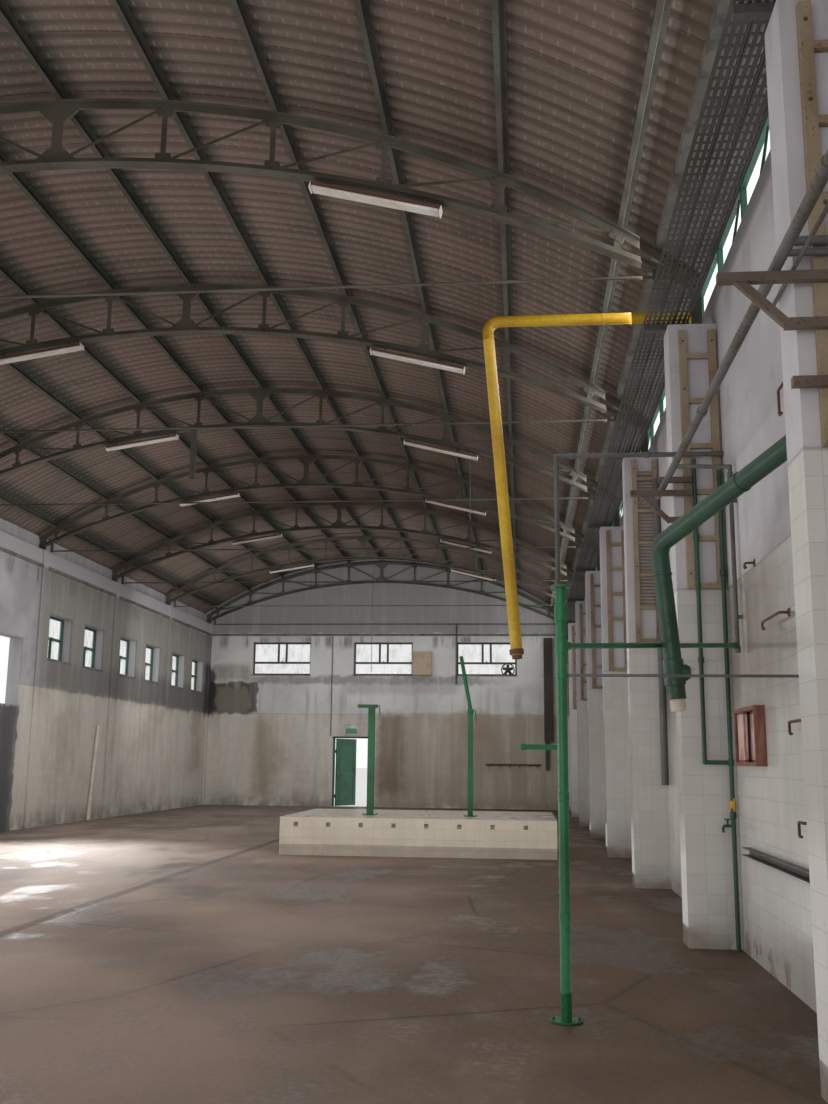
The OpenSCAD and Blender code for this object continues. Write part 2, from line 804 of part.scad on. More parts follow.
module green_drop_pipe() {
    color("darkgreen") {
        difference() {
            rod(drop_corner, drop_wall_point, green_pipe_d);
            block([inside_x, -inside_y, floor_z], [outside_x, inside_y, right_top_z]);
        }
        rod(drop_corner, drop_corner + [drop_lean, 0, -drop_fall], green_pipe_d);
        rod(drop_corner + [drop_outlet[0] / 3, 0, drop_outlet[2]], drop_corner + drop_outlet, green_pipe_d * 0.8);
        elbow(drop_corner, green_pipe_d);
    }
}

// Small pipes in front of the pier at truss line 3
pier_pipe_y = rack_front(3) - small_pipe_d / 2 - seat_gap;
pier_pipe_x = [inside_x - 240, inside_x - 40];
pier_pipe_bend_z = floor_z + 1400;
pier_pipe_tops = [floor_z + 3850, floor_z + 3750];

module pier_pipes() {
    bend = [pier_pipe_x[0], pier_pipe_y, pier_pipe_bend_z];
    color(pipe_green) {
        rod([pier_pipe_x[1], pier_pipe_y, floor_z], [pier_pipe_x[1], pier_pipe_y, pier_pipe_tops[1]], small_pipe_d);
        rod(bend, [bend[0], bend[1], pier_pipe_tops[0]], small_pipe_d);
        rod(bend, [pier_pipe_x[1], bend[1], bend[2]], small_pipe_d);
        elbow(bend, small_pipe_d);
    }
}

// Grey pipes, hanging rods and the rail on the right wall
long_pipe_d = 54;
long_rod_d = 20;
high_pipe_d = 40;
high_pipe_z = floor_z + 3888;
high_pipe_y = rack_front(3) - 27;
high_pipe_x = inside_x - 1360;
stub_z = bracket_z + 195;
downpipe_d = 76;
downpipe_x = inside_x - 42;
rail_low = [inside_x - 60, truss_y(3) - 3900, floor_z + 735];
rail_high = [inside_x, truss_y(3) - 600, floor_z + 790];
rail_metal = 5;
conduit_d = 30;
hung_box_x = -1445;
lamp_places = [-2005, 3070];

// Point on the underside of a lamp, this far along from its middle
function lamp_under(place, along) =
    let (angle = asin(place / tie_radius), reach = tie_radius - lamp_drop - lamp_depth)
    [arch_shift + reach * sin(angle) + along * cos(angle), 0, tie_centre_z + reach * cos(angle) - along * sin(angle)];

module clamp(x, y_low, y_high, z) {
    block([x - 12, y_low, z], [x + 12, y_high, z + 30]);
}

module grey_steelwork() {
    long_z = bracket_z + bracket_bar + seat_gap;
    drop_top = [grey_drop_foot[0], grey_drop_foot[1], grey_drop_top_z];
    high_start = [high_pipe_x, high_pipe_y, high_pipe_z];
    down_y = rack_front(4) - downpipe_d / 2 - seat_gap;
    color("gray") {
        rod([pier_face_x - 95, truss_y(1) - 1200, long_z + long_pipe_d / 2],
            [pier_face_x - 95, truss_y(3) + 100, long_z + long_pipe_d / 2], long_pipe_d);
        rod([pier_face_x - 20, truss_y(1) - 1200, long_z + long_rod_d / 2],
            [pier_face_x - 20, truss_y(2) + 175, long_z + long_rod_d / 2], long_rod_d);
        // Pipe high up in front of pier 3, with its drop at the near end
        rod(high_start, [inside_x, high_pipe_y, high_pipe_z], high_pipe_d);
        rod(high_start, high_start - [0, 0, 1490], high_pipe_d);
        elbow(high_start, high_pipe_d);
        // Drop on the wall and its feed from the bracket
        rod(grey_drop_foot, drop_top, small_pipe_d);
        rod(drop_top, [pier_face_x + 5, rack_front(3) - 36, drop_top[2] + 135], small_pipe_d);
        elbow(drop_top, small_pipe_d);
        for (z = [250, 1150])
            block([grey_drop_foot[0] + 10, grey_drop_foot[1] - 8, grey_drop_foot[2] + z],
                  [inside_x, grey_drop_foot[1] + 8, grey_drop_foot[2] + z + 30]);
        // Stubs in front of pier 2
        rod([rack_x - 90, rack_front(2) - 26, stub_z], [inside_x, rack_front(2) - 26, stub_z], 44);
        rod([rack_x - 160, rack_front(2) - 22, stub_z - 55], [inside_x, rack_front(2) - 22, stub_z - 55], small_pipe_d);
        // Downpipe in front of pier 4
        rod([downpipe_x, down_y, floor_z + 1146], [downpipe_x, down_y, floor_z + 4730], downpipe_d);
        for (z = [1300, 2500])
            clamp(downpipe_x, down_y + downpipe_d / 2 - 4, pier_front(4), floor_z + z);
        // Conduit from the ledge to the door's head
        rod([door_low_x - 58, inside_y - conduit_d / 2 - seat_gap, door_top_z + 20],
            [door_low_x - 58, inside_y - conduit_d / 2 - seat_gap, ledge_z], conduit_d);
        // What hangs from the trusses and a lamp
        rod([-20, truss_y(8) + 40, tie_height(-20) - 2 * seat_gap], [-20, truss_y(8) + 40, floor_z + 3740], 16);
        rod([2050, truss_y(9), tie_rod_z - tie_rod_d / 2 - seat_gap], [2050, truss_y(9), floor_z + 3709], 50);
        block([hung_box_x, truss_y(5) - 30, floor_z + 5950],
              [hung_box_x + 90, truss_y(5) + 30, tie_height(hung_box_x) - seat_gap]);
        rod(lamp_under(lamp_places[1], 500) + [0, truss_y(5) + 40, -2],
            lamp_under(lamp_places[1], 500) + [0, truss_y(5) + 40, -1020], 12);
        difference() {
            block(rail_low, rail_high);
            block(rail_low + [-1, -1, rail_metal], rail_high - [rail_metal, -1, rail_metal]);
        }
    }
}

// Lamps below the bottom chords, tilted with the chord

module lamp(place) {
    angle = asin(place / tie_radius);
    stem_at = lamp_length * 0.36;
    translate([arch_shift, 0, tie_centre_z]) rotate([0, angle, 0]) translate([0, 0, tie_radius]) {
        translate([-lamp_length / 2, -lamp_width / 2, -lamp_drop - lamp_depth])
            cube([lamp_length, lamp_width, lamp_depth]);
        for (side = [-1, 1])
            translate([side * stem_at, 0, -lamp_drop - 1])
                cylinder(h = lamp_drop + 1 - stem_at * (stem_at + 20) / 2 / tie_radius - seat_gap, d = 20);
    }
}

module lamps() {
    color("whitesmoke") for (k = [1 : bay_count - 1], place = lamp_places)
        translate([0, truss_y(k), 0]) lamp(place);
}

platform_low = [435, truss_y(5) - 760, floor_z];
platform_high = [4535, truss_y(5) + 2140, floor_z + platform_height];

module tiled_platform() {
    color("ivory") block(platform_low, platform_high);
}

module platform_posts() {
    post_y = truss_y(5) + 140;
    top = platform_high[2];
    color(pipe_green) {
        block([1610, post_y, top], [1710, post_y + 100, top + 1660]);
        block([1440, post_y - 10, top + 1660], [1750, post_y + 110, top + 1710]);
        block([3190, post_y, top], [3270, post_y + 80, top + 1660]);
        rod([3230, post_y + 40, top + 1640], [3080, post_y + 40, top + 2480], 60);
    }
}

// Box under the ledge beside the middle window
box_x = gable_windows[1] + gable_window_width + 10;
box_size = [590, 260, 730];

module wall_box() {
    color("burlywood")
        block([box_x, inside_y - box_size[1], gable_sill_z - 20],
              [box_x + box_size[0], inside_y, gable_sill_z - 20 + box_size[2]]);
}

// Dark duct beside the back right corner
duct_x = inside_x - 985;
duct_size = [270, 120];
duct_foot = 1160;
duct_bend = 1990;

module wall_duct() {
    color("saddlebrown") {
        block([duct_x, inside_y - duct_size[1], floor_z + duct_bend],
              [duct_x + duct_size[0], inside_y, ledge_z - 70]);
        block([duct_x + 30, inside_y - duct_size[1] + 20, floor_z + duct_foot],
              [duct_x + duct_size[0] / 2, inside_y, floor_z + duct_bend + 1]);
    }
}

// Shallow wooden frame on the right wall
frame_low = [inside_x - 75, truss_y(3) - 1340, floor_z + 1375];
frame_size = [75, 740, 415];
frame_board = 28;

module wall_frame() {
    high = frame_low + frame_size;
    color("rosybrown") {
        difference() {
            block(frame_low, high);
            block(frame_low + [-1, frame_board, frame_board], high - [15, frame_board, frame_board]);
        }
        block(frame_low + [8, 420, frame_board - 1], frame_low + [34, 640, frame_size[2] - frame_board + 1]);
    }
}

module drain_pipe() {
    x = -inside_x + 40 + seat_gap;
    color("ivory") rod([x, truss_y(6) + 3060, floor_z + 6], [x, truss_y(6) + 3360, floor_z + 2100], 80);
}

floor_slab();
left_wall_lower();
left_wall_window_piers();
left_wall_upper();
left_wall_pilasters();
right_wall();
right_wall_piers();
eave_posts();
eave_slab();
clerestory_frames();
back_wall_left();
back_wall_right();
back_wall_over_door();
back_window_piers();
back_gable();
front_wall_lower();
front_window_piers();
front_gable();
wall_ledges();
window_frames();
window_glass();
trusses_front();
trusses_middle();
trusses_back();
tie_rods();
purlins();
roof_sheets_left();
roof_sheets_right();
door_frame();
door_leaf();
perforated_tray();
pipe_rack_frames();
pipe_brackets();
yellow_pipe();
green_standpipes();
green_drop_pipe();
pier_pipes();
grey_steelwork();
lamps();
tiled_platform();
platform_posts();
wall_box();
wall_duct();
wall_frame();
drain_pipe();
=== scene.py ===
import json
import math

import bmesh
import bpy
from bmesh.types import BMFace, BMVert
from bpy.props import FloatProperty, FloatVectorProperty, IntProperty, PointerProperty
from mathutils import Matrix, Vector


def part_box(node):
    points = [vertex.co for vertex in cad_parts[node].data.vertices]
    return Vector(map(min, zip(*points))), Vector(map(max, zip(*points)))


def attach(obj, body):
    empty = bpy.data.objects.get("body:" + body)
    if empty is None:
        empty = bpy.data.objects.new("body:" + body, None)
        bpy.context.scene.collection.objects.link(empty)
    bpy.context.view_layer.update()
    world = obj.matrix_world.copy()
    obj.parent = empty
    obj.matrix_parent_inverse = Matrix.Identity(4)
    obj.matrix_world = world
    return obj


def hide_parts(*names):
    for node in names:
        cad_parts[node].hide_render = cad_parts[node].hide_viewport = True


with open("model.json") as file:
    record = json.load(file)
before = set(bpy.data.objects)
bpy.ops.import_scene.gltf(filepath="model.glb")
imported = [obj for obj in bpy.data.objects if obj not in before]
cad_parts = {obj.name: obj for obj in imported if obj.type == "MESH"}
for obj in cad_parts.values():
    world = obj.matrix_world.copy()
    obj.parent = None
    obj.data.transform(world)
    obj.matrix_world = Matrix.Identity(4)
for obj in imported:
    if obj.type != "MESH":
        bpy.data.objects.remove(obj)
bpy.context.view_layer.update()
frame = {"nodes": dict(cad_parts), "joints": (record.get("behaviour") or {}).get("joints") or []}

bl_info = {
    "name": "Factory Hall Finishes",
    "version": (1, 0, 0),
    "blender": (4, 5, 0),
    "location": "3D View > Sidebar > Hall",
    "description": "Sheets, plates, fittings and finishes of a long hall with an arched roof",
    "category": "Object",
}

# Places that the frame gives, in metres
FLOOR_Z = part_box("floor_slab")[1].z
INSIDE_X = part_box("right_wall")[0].x
OUTSIDE_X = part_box("right_wall")[1].x
INSIDE_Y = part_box("right_wall")[1].y
OUTSIDE_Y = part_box("back_gable")[1].y
ROOF_END_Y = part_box("eave_slab")[1].y
PIER_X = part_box("right_wall_piers")[0].x
LEDGE_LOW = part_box("wall_ledges")[0].z
END_GAP = 0.08

# Top of the tiles on the walls, how far the ladder frames stand out in front of the
# truss lines, and the bay with the opening in the left wall
TILE_TOP = 2.98
RACK_REACH = 0.2
OPEN_BAY = 5

# The arch of the roof, seen along the hall
ARCH_X = -0.3
CHORD_RADIUS = 9.9
ARCH_Z = FLOOR_Z + 7.5 - CHORD_RADIUS
SHEET_RADIUS = CHORD_RADIUS + 0.1203
SHEET_DEPTH = 0.04
PURLIN_PITCH = 1.04
SIDE_PURLINS = 5
CHORD_DEPTH = 0.07
TRUSS_RIGHT_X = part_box("trusses_middle")[1].x
TIE_TOP_Z = FLOOR_Z + 6.85
STEM_HALF = 0.013

# Directions
UP = Vector((0, 0, 1))
ACROSS = Vector((1, 0, 0))


def arch_height(radius, x):
    """Height of an arc about the roof's axis over a place across the hall."""
    return ARCH_Z + math.sqrt(radius**2 - (x - ARCH_X) ** 2)


TIE_REACH = TRUSS_RIGHT_X - ARCH_X
TIE_FALL = TIE_TOP_Z - arch_height(CHORD_RADIUS, TRUSS_RIGHT_X) + 0.1246
TIE_RADIUS = (TIE_REACH**2 + TIE_FALL**2) / (2 * TIE_FALL)
TIE_Z = TIE_TOP_Z - TIE_RADIUS


def tie_height(x):
    """Height of the underside of the bottom chords."""
    return TIE_Z + math.sqrt(TIE_RADIUS**2 - (x - ARCH_X) ** 2)


def rgb(red, green, blue):
    """A colour as it shows on a screen, 0 to 255, in linear values with alpha."""

    def linear(value):
        share = value / 255
        return share / 12.92 if share <= 0.04045 else ((share + 0.055) / 1.055) ** 2.4

    return (linear(red), linear(green), linear(blue), 1.0)


def colour_prop(name, description, value):
    """A colour that the user may change."""
    return FloatVectorProperty(
        name=name, description=description, subtype="COLOR", size=4, min=0.0, max=1.0, default=rgb(*value)
    )


def length_prop(name, description, value, low, high):
    """A length that the user may change."""
    return FloatProperty(name=name, description=description, default=value, min=low, max=high, unit="LENGTH")


class HallSizes(bpy.types.PropertyGroup):
    """Sizes of the pieces that dress the hall."""

    bay_length: length_prop("Bay", "Distance from one truss to the next", 4.13, 3.9, 4.2)
    bay_count: IntProperty(name="Bays", description="Bays between the gables", default=9, min=7, max=9)
    wave_pitch: length_prop("Wave pitch", "Distance between the waves of the roof sheets", 0.177, 0.1, 0.3)
    sheet_thickness: length_prop("Sheet", "Thickness of the roof sheets", 0.007, 0.004, 0.01)
    sheet_width: length_prop("Sheet width", "Cover width of a roof sheet", 0.885, 0.5, 1.2)
    slot_pitch: length_prop("Slot pitch", "Distance between the slots along the planks", 0.093, 0.06, 0.2)
    slat_pitch: length_prop("Slat pitch", "Distance between the slats of the slatted frame", 0.04, 0.03, 0.08)
    tile_size: length_prop("Tile", "Side of a wall tile", 0.15, 0.1, 0.3)
    platform_hole_pitch: length_prop("Holes", "Distance between the platform's holes", 0.49, 0.3, 0.8)


class HallColours(bpy.types.PropertyGroup):
    """Colours of the hall's finishes."""

    roof: colour_prop("Roof sheets", "Cement sheets of the roof", (136, 118, 108))
    steel: colour_prop("Steel", "Paint on the trusses and purlins", (100, 96, 86))
    plaster: colour_prop("Plaster", "Walls over the tiles", (176, 175, 177))
    band: colour_prop("Band", "Walls over the ledges", (186, 186, 188))
    dado: colour_prop("Gable tiles", "Tiles of the gables and the left wall", (200, 194, 184))
    glazed: colour_prop("Glazed tiles", "Tiles of the right wall and its piers", (206, 203, 198))
    floor: colour_prop("Floor", "Worn concrete floor", (138, 116, 101))
    concrete: colour_prop("Concrete", "Ledges and the slab under the eave", (126, 123, 118))
    planks: colour_prop("Planks", "Dark metal of the slotted planks", (84, 83, 80))
    frames: colour_prop("Window frames", "Paint on the window frames", (58, 104, 88))
    door: colour_prop("Door", "Paint on the door", (24, 108, 72))
    racks: colour_prop("Racks", "Paint on the ladder frames and brackets", (166, 150, 126))
    yellow: colour_prop("Yellow pipe", "Paint on the yellow pipe", (206, 170, 30))
    green: colour_prop("Green pipes", "Paint on the standpipes and posts", (28, 118, 70))
    dark_green: colour_prop("Dark green pipes", "Paint on the large drop pipe", (44, 84, 64))
    grey: colour_prop("Grey pipes", "Paint on the grey pipes and rods", (104, 104, 102))


def sizes():
    """The sizes in use."""
    return bpy.context.scene.hall_sizes


def tone(colour):
    """A colour by its name in the panel, one in screen values, or what a node gives as it is."""
    if isinstance(colour, str):
        return tuple(getattr(bpy.context.scene.hall_colours, colour))
    return colour if isinstance(colour, Level) or len(colour) == 4 else rgb(*colour)


def scaled(colour, share):
    """A colour at a share of its strength."""
    return tuple(share * part for part in tone(colour)[:3]) + (1.0,)


def truss_y(k):
    """Place of a truss line along the hall, from 0 at the front."""
    return -INSIDE_Y + END_GAP + k * sizes().bay_length


def truss_lines():
    """All truss lines."""
    return range(sizes().bay_count + 1)


def wave_count():
    """Number of the roof sheets' waves along the hall."""
    return round(2 * ROOF_END_Y / sizes().wave_pitch)


def in_hall(x, y, z):
    """A point by its place from the right wall's face, along the hall and over the floor."""
    return Vector((INSIDE_X + x, y, FLOOR_Z + z))


# Materials


class Level:
    """A number or colour that a material's nodes work out, open to plain sums."""

    def __init__(self, coat, socket):
        self.coat = coat
        self.socket = socket

    def sum(self, operation, other=0.0):
        """The result of one more sum."""
        return self.coat.put("ShaderNodeMath", {0: self, 1: other}, operation=operation)

    def __add__(self, other):
        return self.sum("ADD", other)

    def __sub__(self, other):
        return self.sum("SUBTRACT", other)

    def __mul__(self, other):
        return self.sum("MULTIPLY", other)

    def __truediv__(self, other):
        return self.sum("DIVIDE", other)

    def __pow__(self, other):
        return self.sum("POWER", other)

    def __gt__(self, other):
        return self.sum("GREATER_THAN", other)

    def __abs__(self):
        return self.sum("ABSOLUTE")

    def other(self, output):
        """Another output of the same node."""
        return Level(self.coat, self.socket.node.outputs[output])

    def step(self, low, high, to_low=0.0, to_high=1.0):
        """Smooth step between two levels."""
        values = {"Value": self, 1: low, 2: high, 3: to_low, 4: to_high}
        return self.coat.put("ShaderNodeMapRange", values, interpolation_type="SMOOTHSTEP")

    def within(self, low, high, soft):
        """1 between two levels, with soft ends."""
        return self.step(low - soft, low + soft) * self.step(high - soft, high + soft, 1.0, 0.0)

    def mix(self, first, second, mode="MIX"):
        """Mix of two colours by this amount."""
        values = {0: self, 6: tone(first), 7: tone(second)}
        return self.coat.put("ShaderNodeMix", values, 2, data_type="RGBA", blend_type=mode)

    def darken(self, colour, least):
        """The colour, down to this share of itself where the amount is 1."""
        return self.mix(colour, (least, least, least, 1.0), "MULTIPLY")


class Finish:
    """A material in the making, with short calls for its nodes."""

    def __init__(self, name):
        self.material = bpy.data.materials.new(name)
        self.material.use_nodes = True
        self.nodes = self.material.node_tree.nodes
        self.surface = self.nodes["Principled BSDF"].inputs
        self.place = self.put("ShaderNodeTexCoord", {}, "Object")

    def feed(self, socket, value):
        """Links a level to a socket, or sets the socket's own value."""
        if isinstance(value, Level):
            self.material.node_tree.links.new(value.socket, socket)
        else:
            socket.default_value = value

    def put(self, kind, inputs, output=0, **settings):
        """Adds a node with these settings and inputs, and gives one of its outputs."""
        node = self.nodes.new(kind)
        for key, value in settings.items():
            setattr(node, key, value)
        for key, value in inputs.items():
            self.feed(node.inputs[key], value)
        return Level(self, node.outputs[output])

    def parts(self, source):
        """The three parts of a place or a direction."""
        first = self.put("ShaderNodeSeparateXYZ", {0: source})
        return first, first.other(1), first.other(2)

    def axes(self):
        """The three coordinates."""
        return self.parts(self.place)

    def facing(self):
        """The three parts of the direction in which the surface faces."""
        return self.parts(self.put("ShaderNodeNewGeometry", {}, "Normal"))

    def noise(self, scale, detail=4.0, stretch=(1.0, 1.0, 1.0), rough=0.55, shift=(0.0, 0.0, 0.0)):
        """Cloudy noise from 0 to 1, stretched along the axes with small factors."""
        spot = self.put("ShaderNodeMapping", {"Vector": self.place, "Scale": stretch, "Location": shift})
        values = {"Vector": spot, "Scale": scale, "Detail": detail, "Roughness": rough}
        return self.put("ShaderNodeTexNoise", values)

    def finish(self, colour, rough, height=None, strength=0.3, distance=0.01):
        """Joins the colour, the roughness and the relief to the surface."""
        self.feed(self.surface["Base Color"], colour)
        self.feed(self.surface["Roughness"], rough)
        if height is not None:
            values = {"Height": height, "Strength": strength, "Distance": distance}
            self.feed(self.surface["Normal"], self.put("ShaderNodeBump", values))
        return self.material


def paint(name, colour, rust=0.3, rough=0.5, rust_colour=(92, 66, 50), gable_colour=None):
    """Old paint on metal with dust, scuffs and rust that comes through in spots."""
    coat = Finish(name)
    cloud = coat.noise(1.6, 3.0)
    grain = coat.noise(38.0, 2.0)
    base = tone(colour)
    if gable_colour:
        on_gable = abs(coat.axes()[1]) > INSIDE_Y
        base = on_gable.mix(base, gable_colour)
    shade = cloud.step(0.3, 0.72).mix(base, (128, 122, 112), "SOFT_LIGHT")
    shade = grain.step(0.62, 0.4, 0.0, 0.5).darken(shade, 0.72)
    spots = grain * 0.55 + cloud * 0.45
    worn = spots.step(0.64 - 0.16 * rust, 0.7 - 0.12 * rust)
    shade = (worn * (0.35 + 0.6 * rust)).mix(shade, rust_colour)
    wear = (grain + worn * 0.3).step(0.3, 0.9, rough - 0.1, rough + 0.3)
    return coat.finish(shade, wear, grain, 0.35, 0.002)


def purlin_paint():
    """Paint on the purlins, pale on the flanges, with painted shade black inside the channels."""
    coat = Finish("purlin_finish")
    x, _, z = coat.axes()
    radius = ((x - ARCH_X) ** 2.0 + (z - ARCH_Z) ** 2.0).sum("SQRT")
    channel_shade = radius.within(CHORD_RADIUS + 0.01, CHORD_RADIUS + 0.108, 0.003)
    cloud = coat.noise(2.0, 2.0)
    grain = coat.noise(34.0, 2.0)
    colour = cloud.step(0.35, 0.7).mix((84, 86, 77), (64, 62, 54))
    colour = (grain.step(0.56, 0.66) * 0.5).mix(colour, (96, 70, 54))
    # Painted shade: the inside of each channel is darkened nearly to black.
    colour = (channel_shade * 0.9).darken(colour, 0.12)
    return coat.finish(colour, grain.step(0.3, 0.8, 0.55, 0.85), grain, 0.3, 0.002)


def tile_pattern(side, place, tiles):
    """Square tiles with narrow joints; the node's Fac output is 1 in the joints."""
    tile = sizes().tile_size
    values = {
        "Vector": place,
        "Color1": tone(tiles),
        "Color2": scaled(tiles, 0.93),
        "Mortar": scaled(tiles, 0.8),
        "Scale": 1.0,
        "Mortar Size": 0.0022,
        "Mortar Smooth": 0.4,
        "Brick Width": tile,
        "Row Height": tile,
    }
    return side.put("ShaderNodeTexBrick", values, offset=0.0, squash=1.0)


def wall(name, upper, tiles, patches=None, glaze=0.45, dirt=1.0):
    """Stained plaster over tiles, by height, with patches of other colours in given boxes."""
    side = Finish(name)
    x, y, z = side.axes()
    tiling = tile_pattern(side, side.put("ShaderNodeCombineXYZ", {0: x + y, 1: z}), tiles)
    cloud = side.noise(0.55, 3.0, rough=0.62)
    middling = side.noise(3.1, 3.0, rough=0.6)
    fine = side.noise(55.0, 1.0)
    drips = side.noise(1.0, 3.0, (4.2, 4.2, 0.28), 0.6)
    sway = middling - 0.5
    plaster = cloud.step(0.35, 0.68).mix(upper, (128, 128, 132), "SOFT_LIGHT")
    plaster = middling.step(0.56, 0.78).darken(plaster, 0.84)
    plaster = (z.step(LEDGE_LOW + 0.02, LEDGE_LOW + 0.06) * 0.85).mix(plaster, "band")
    under_ledge = z.within(LEDGE_LOW - 0.35, LEDGE_LOW, 0.12) * drips.step(0.46, 0.66)
    plaster = (under_ledge * (0.8 * dirt)).darken(plaster, 0.3)
    dado = (drips.step(0.42, 0.72) * (0.5 * dirt)).darken(tiling, 0.66)
    dado = (cloud.step(0.46, 0.7) * (0.4 * dirt)).mix(dado, (150, 134, 112), "MULTIPLY")
    low = z.step(FLOOR_Z + 0.5, FLOOR_Z) * middling.step(0.3, 0.6)
    dado = (low * (0.8 * dirt)).darken(dado, 0.4)
    over = (z + sway * 0.02).step(TILE_TOP - 0.004, TILE_TOP + 0.004)
    colour = over.mix(dado, plaster)
    colour = (z.within(TILE_TOP - 0.012, TILE_TOP + 0.006, 0.006) * 0.55).darken(colour, 0.45)
    streaks = z.within(TILE_TOP, TILE_TOP + 0.75, 0.3) * drips.step(0.5, 0.72)
    colour = (streaks * (0.55 * dirt)).darken(colour, 0.5)
    wobble = sway * 0.35
    for x_span, y_span, z_span, shade, amount in patches() if patches else ():
        mask = amount
        for value, span in ((x, x_span), (y, y_span), (z, z_span)):
            if span:
                face_only = span[1] - span[0] < 0.2
                moved = value if face_only else value + wobble
                mask = moved.within(*span) * mask
        colour = (drips.step(0.2, 0.55, 0.55, 1.0) * mask).mix(colour, shade)
    outside = (abs(x) > INSIDE_X + 0.03).sum("MAXIMUM", abs(y) > INSIDE_Y + 0.03)
    render = z.step(0.7, 0.0).darken(drips.step(0.4, 0.75).darken(upper, 0.72), 0.7)
    colour = outside.mix(colour, render)
    rough = over.step(0.0, 1.0, glaze, 0.85) + sway * 0.3
    return side.finish(colour, rough, fine * 0.25 - tiling.other("Fac"), 0.5, 0.003)


def roof_sheet():
    """Weathered cement sheets of several shades, with specks and dark laps, painted shadows beside the
    purlins and painted shade along the waves.
    """
    sheet = Finish("roof_sheet_finish")
    x, y, _ = sheet.axes()
    aside = x - ARCH_X
    along = y / sizes().sheet_width
    row = (aside / (2 * PURLIN_PITCH)).sum("FLOOR")
    cell = sheet.put("ShaderNodeCombineXYZ", {0: row, 1: along.sum("FLOOR")})
    chance = sheet.put("ShaderNodeTexWhiteNoise", {"Vector": cell}, noise_dimensions="2D")
    colour = chance.mix(scaled("roof", 0.82), "roof")
    cloud = sheet.noise(0.5, 3.0, (1.0, 0.7, 1.0), 0.6)
    streak = sheet.noise(1.2, 2.5, (0.5, 7.0, 0.5), 0.6)
    speck = sheet.noise(26.0, 2.0, (0.5, 1.0, 0.5))
    colour = (cloud.step(0.42, 0.7) * 0.55).mix(colour, (104, 98, 88))
    colour = (streak.step(0.52, 0.75) * 0.7).darken(colour, 0.6)
    colour = (speck.step(0.6, 0.74) * 0.4).mix(colour, (170, 160, 152))
    lap = along.sum("FRACT")
    line = lap.step(0.035, 0.012).sum("MAXIMUM", lap.step(0.985, 0.996))
    colour = (line * cloud.step(0.2, 0.5, 0.35, 0.85)).darken(colour, 0.32)
    offset = aside / PURLIN_PITCH
    beside = offset - offset.sum("ROUND")
    # Painted shadow: a greenish dark band on one side of each purlin, on the sheets' undersides, stronger
    # towards the left.
    purlin_shadow = beside.step(0.3, 0.06) * beside.step(-0.1, -0.02)
    purlin_shadow = purlin_shadow * x.step(2.6, 0.4, 0.35, 0.85) * sheet.facing()[2].step(0.05, -0.05)
    colour = purlin_shadow.mix(colour, (58, 61, 54))
    crest = ((y + ROOF_END_Y) * (math.pi * wave_count() / ROOF_END_Y)).sum("COSINE")
    # Painted shade along the corrugation: the sheets are darker over one half of each wave.
    colour = (crest.step(-0.2, 0.9) * 0.75).darken(colour, 0.6)
    belly = (offset * 9.0).sum("FRACT").step(0.2, 0.05) * crest.step(0.1, -0.7)
    colour = (belly * streak.step(0.3, 0.6) * 0.28).mix(colour, (196, 182, 172))
    colour = (x.step(0.0, 4.5) * 0.6).mix(colour, (112, 108, 100), "SOFT_LIGHT")
    return sheet.finish(colour, speck.step(0.3, 0.7, 0.8, 0.95), speck, 0.4, 0.003)


def floor_concrete():
    """Dirty concrete with damp patches, pale dust, cracks and an old groove, with painted shade at the far
    end and along the side walls.
    """
    groove_x = -0.17
    groove_slope = -0.0132
    slab = Finish("floor_finish")
    x, y, _ = slab.axes()
    cloud = slab.noise(0.32, 3.0, rough=0.62)
    patch = slab.noise(1.1, 4.0, (1.0, 0.6, 1.0), 0.62, (3.0, 7.0, 0.0))
    grit = slab.noise(24.0, 3.0, rough=0.7)
    colour = cloud.step(0.36, 0.66).mix("floor", (98, 80, 68))
    swept = x.step(1.5, -2.5) * patch.step(0.65, 0.3, 0.2, 0.7)
    colour = swept.mix(colour, (160, 144, 133))
    brown = x.step(2.2, 4.4) * patch.step(0.3, 0.6, 0.3, 0.9)
    colour = brown.mix(colour, (92, 68, 44))
    damp = patch.step(0.5, 0.62)
    colour = (damp * 0.75).darken(colour, 0.52)
    dust = patch.step(0.44, 0.3) * grit.step(0.4, 0.7)
    colour = (dust * 0.5).mix(colour, (160, 145, 132))
    colour = (grit.step(0.66, 0.74) * 0.4).mix(colour, (184, 172, 160))
    cells = {"Vector": slab.place, "Scale": 0.42, "Randomness": 1.0}
    cracks = slab.put("ShaderNodeTexVoronoi", cells, "Distance", feature="DISTANCE_TO_EDGE")
    crack = cracks.step(0.012, 0.003) * cloud.step(0.4, 0.6)
    colour = (crack * 0.7).darken(colour, 0.35)
    away = abs(x - (y * groove_slope + groove_x))
    groove = (away + grit * 0.03).step(0.11, 0.05)
    colour = (groove * 0.8).darken(colour, 0.35)
    # Painted shade: the floor is darker towards the far end of the hall.
    far_shade = (y + patch * 2.0).step(9.5, 14.0)
    colour = (far_shade * 0.75).darken(colour, 0.42)
    # Painted shade along the foot of the side walls: the floor is darker within 0.9 m of them.
    colour = (abs(x).step(INSIDE_X - 0.9, INSIDE_X) * 0.6).darken(colour, 0.5)
    rough = grit.step(0.3, 0.8, 0.7, 0.95) - damp * 0.38
    return slab.finish(colour, rough, grit - groove, 0.6, 0.006)


def rough_concrete():
    """Grey concrete with pits, pale lime and dark drips."""
    stone = Finish("concrete_finish")
    cloud = stone.noise(1.4, 6.0)
    drips = stone.noise(1.3, 4.0, (5.0, 5.0, 0.6))
    pits = stone.noise(42.0, 5.0, rough=0.7)
    colour = cloud.step(0.35, 0.7).mix("concrete", (96, 92, 88))
    colour = (drips.step(0.48, 0.7) * 0.8).darken(colour, 0.45)
    colour = (pits.step(0.62, 0.75) * 0.4).mix(colour, (180, 176, 168))
    return stone.finish(colour, pits.step(0.3, 0.7, 0.75, 0.95), pits, 0.5, 0.004)


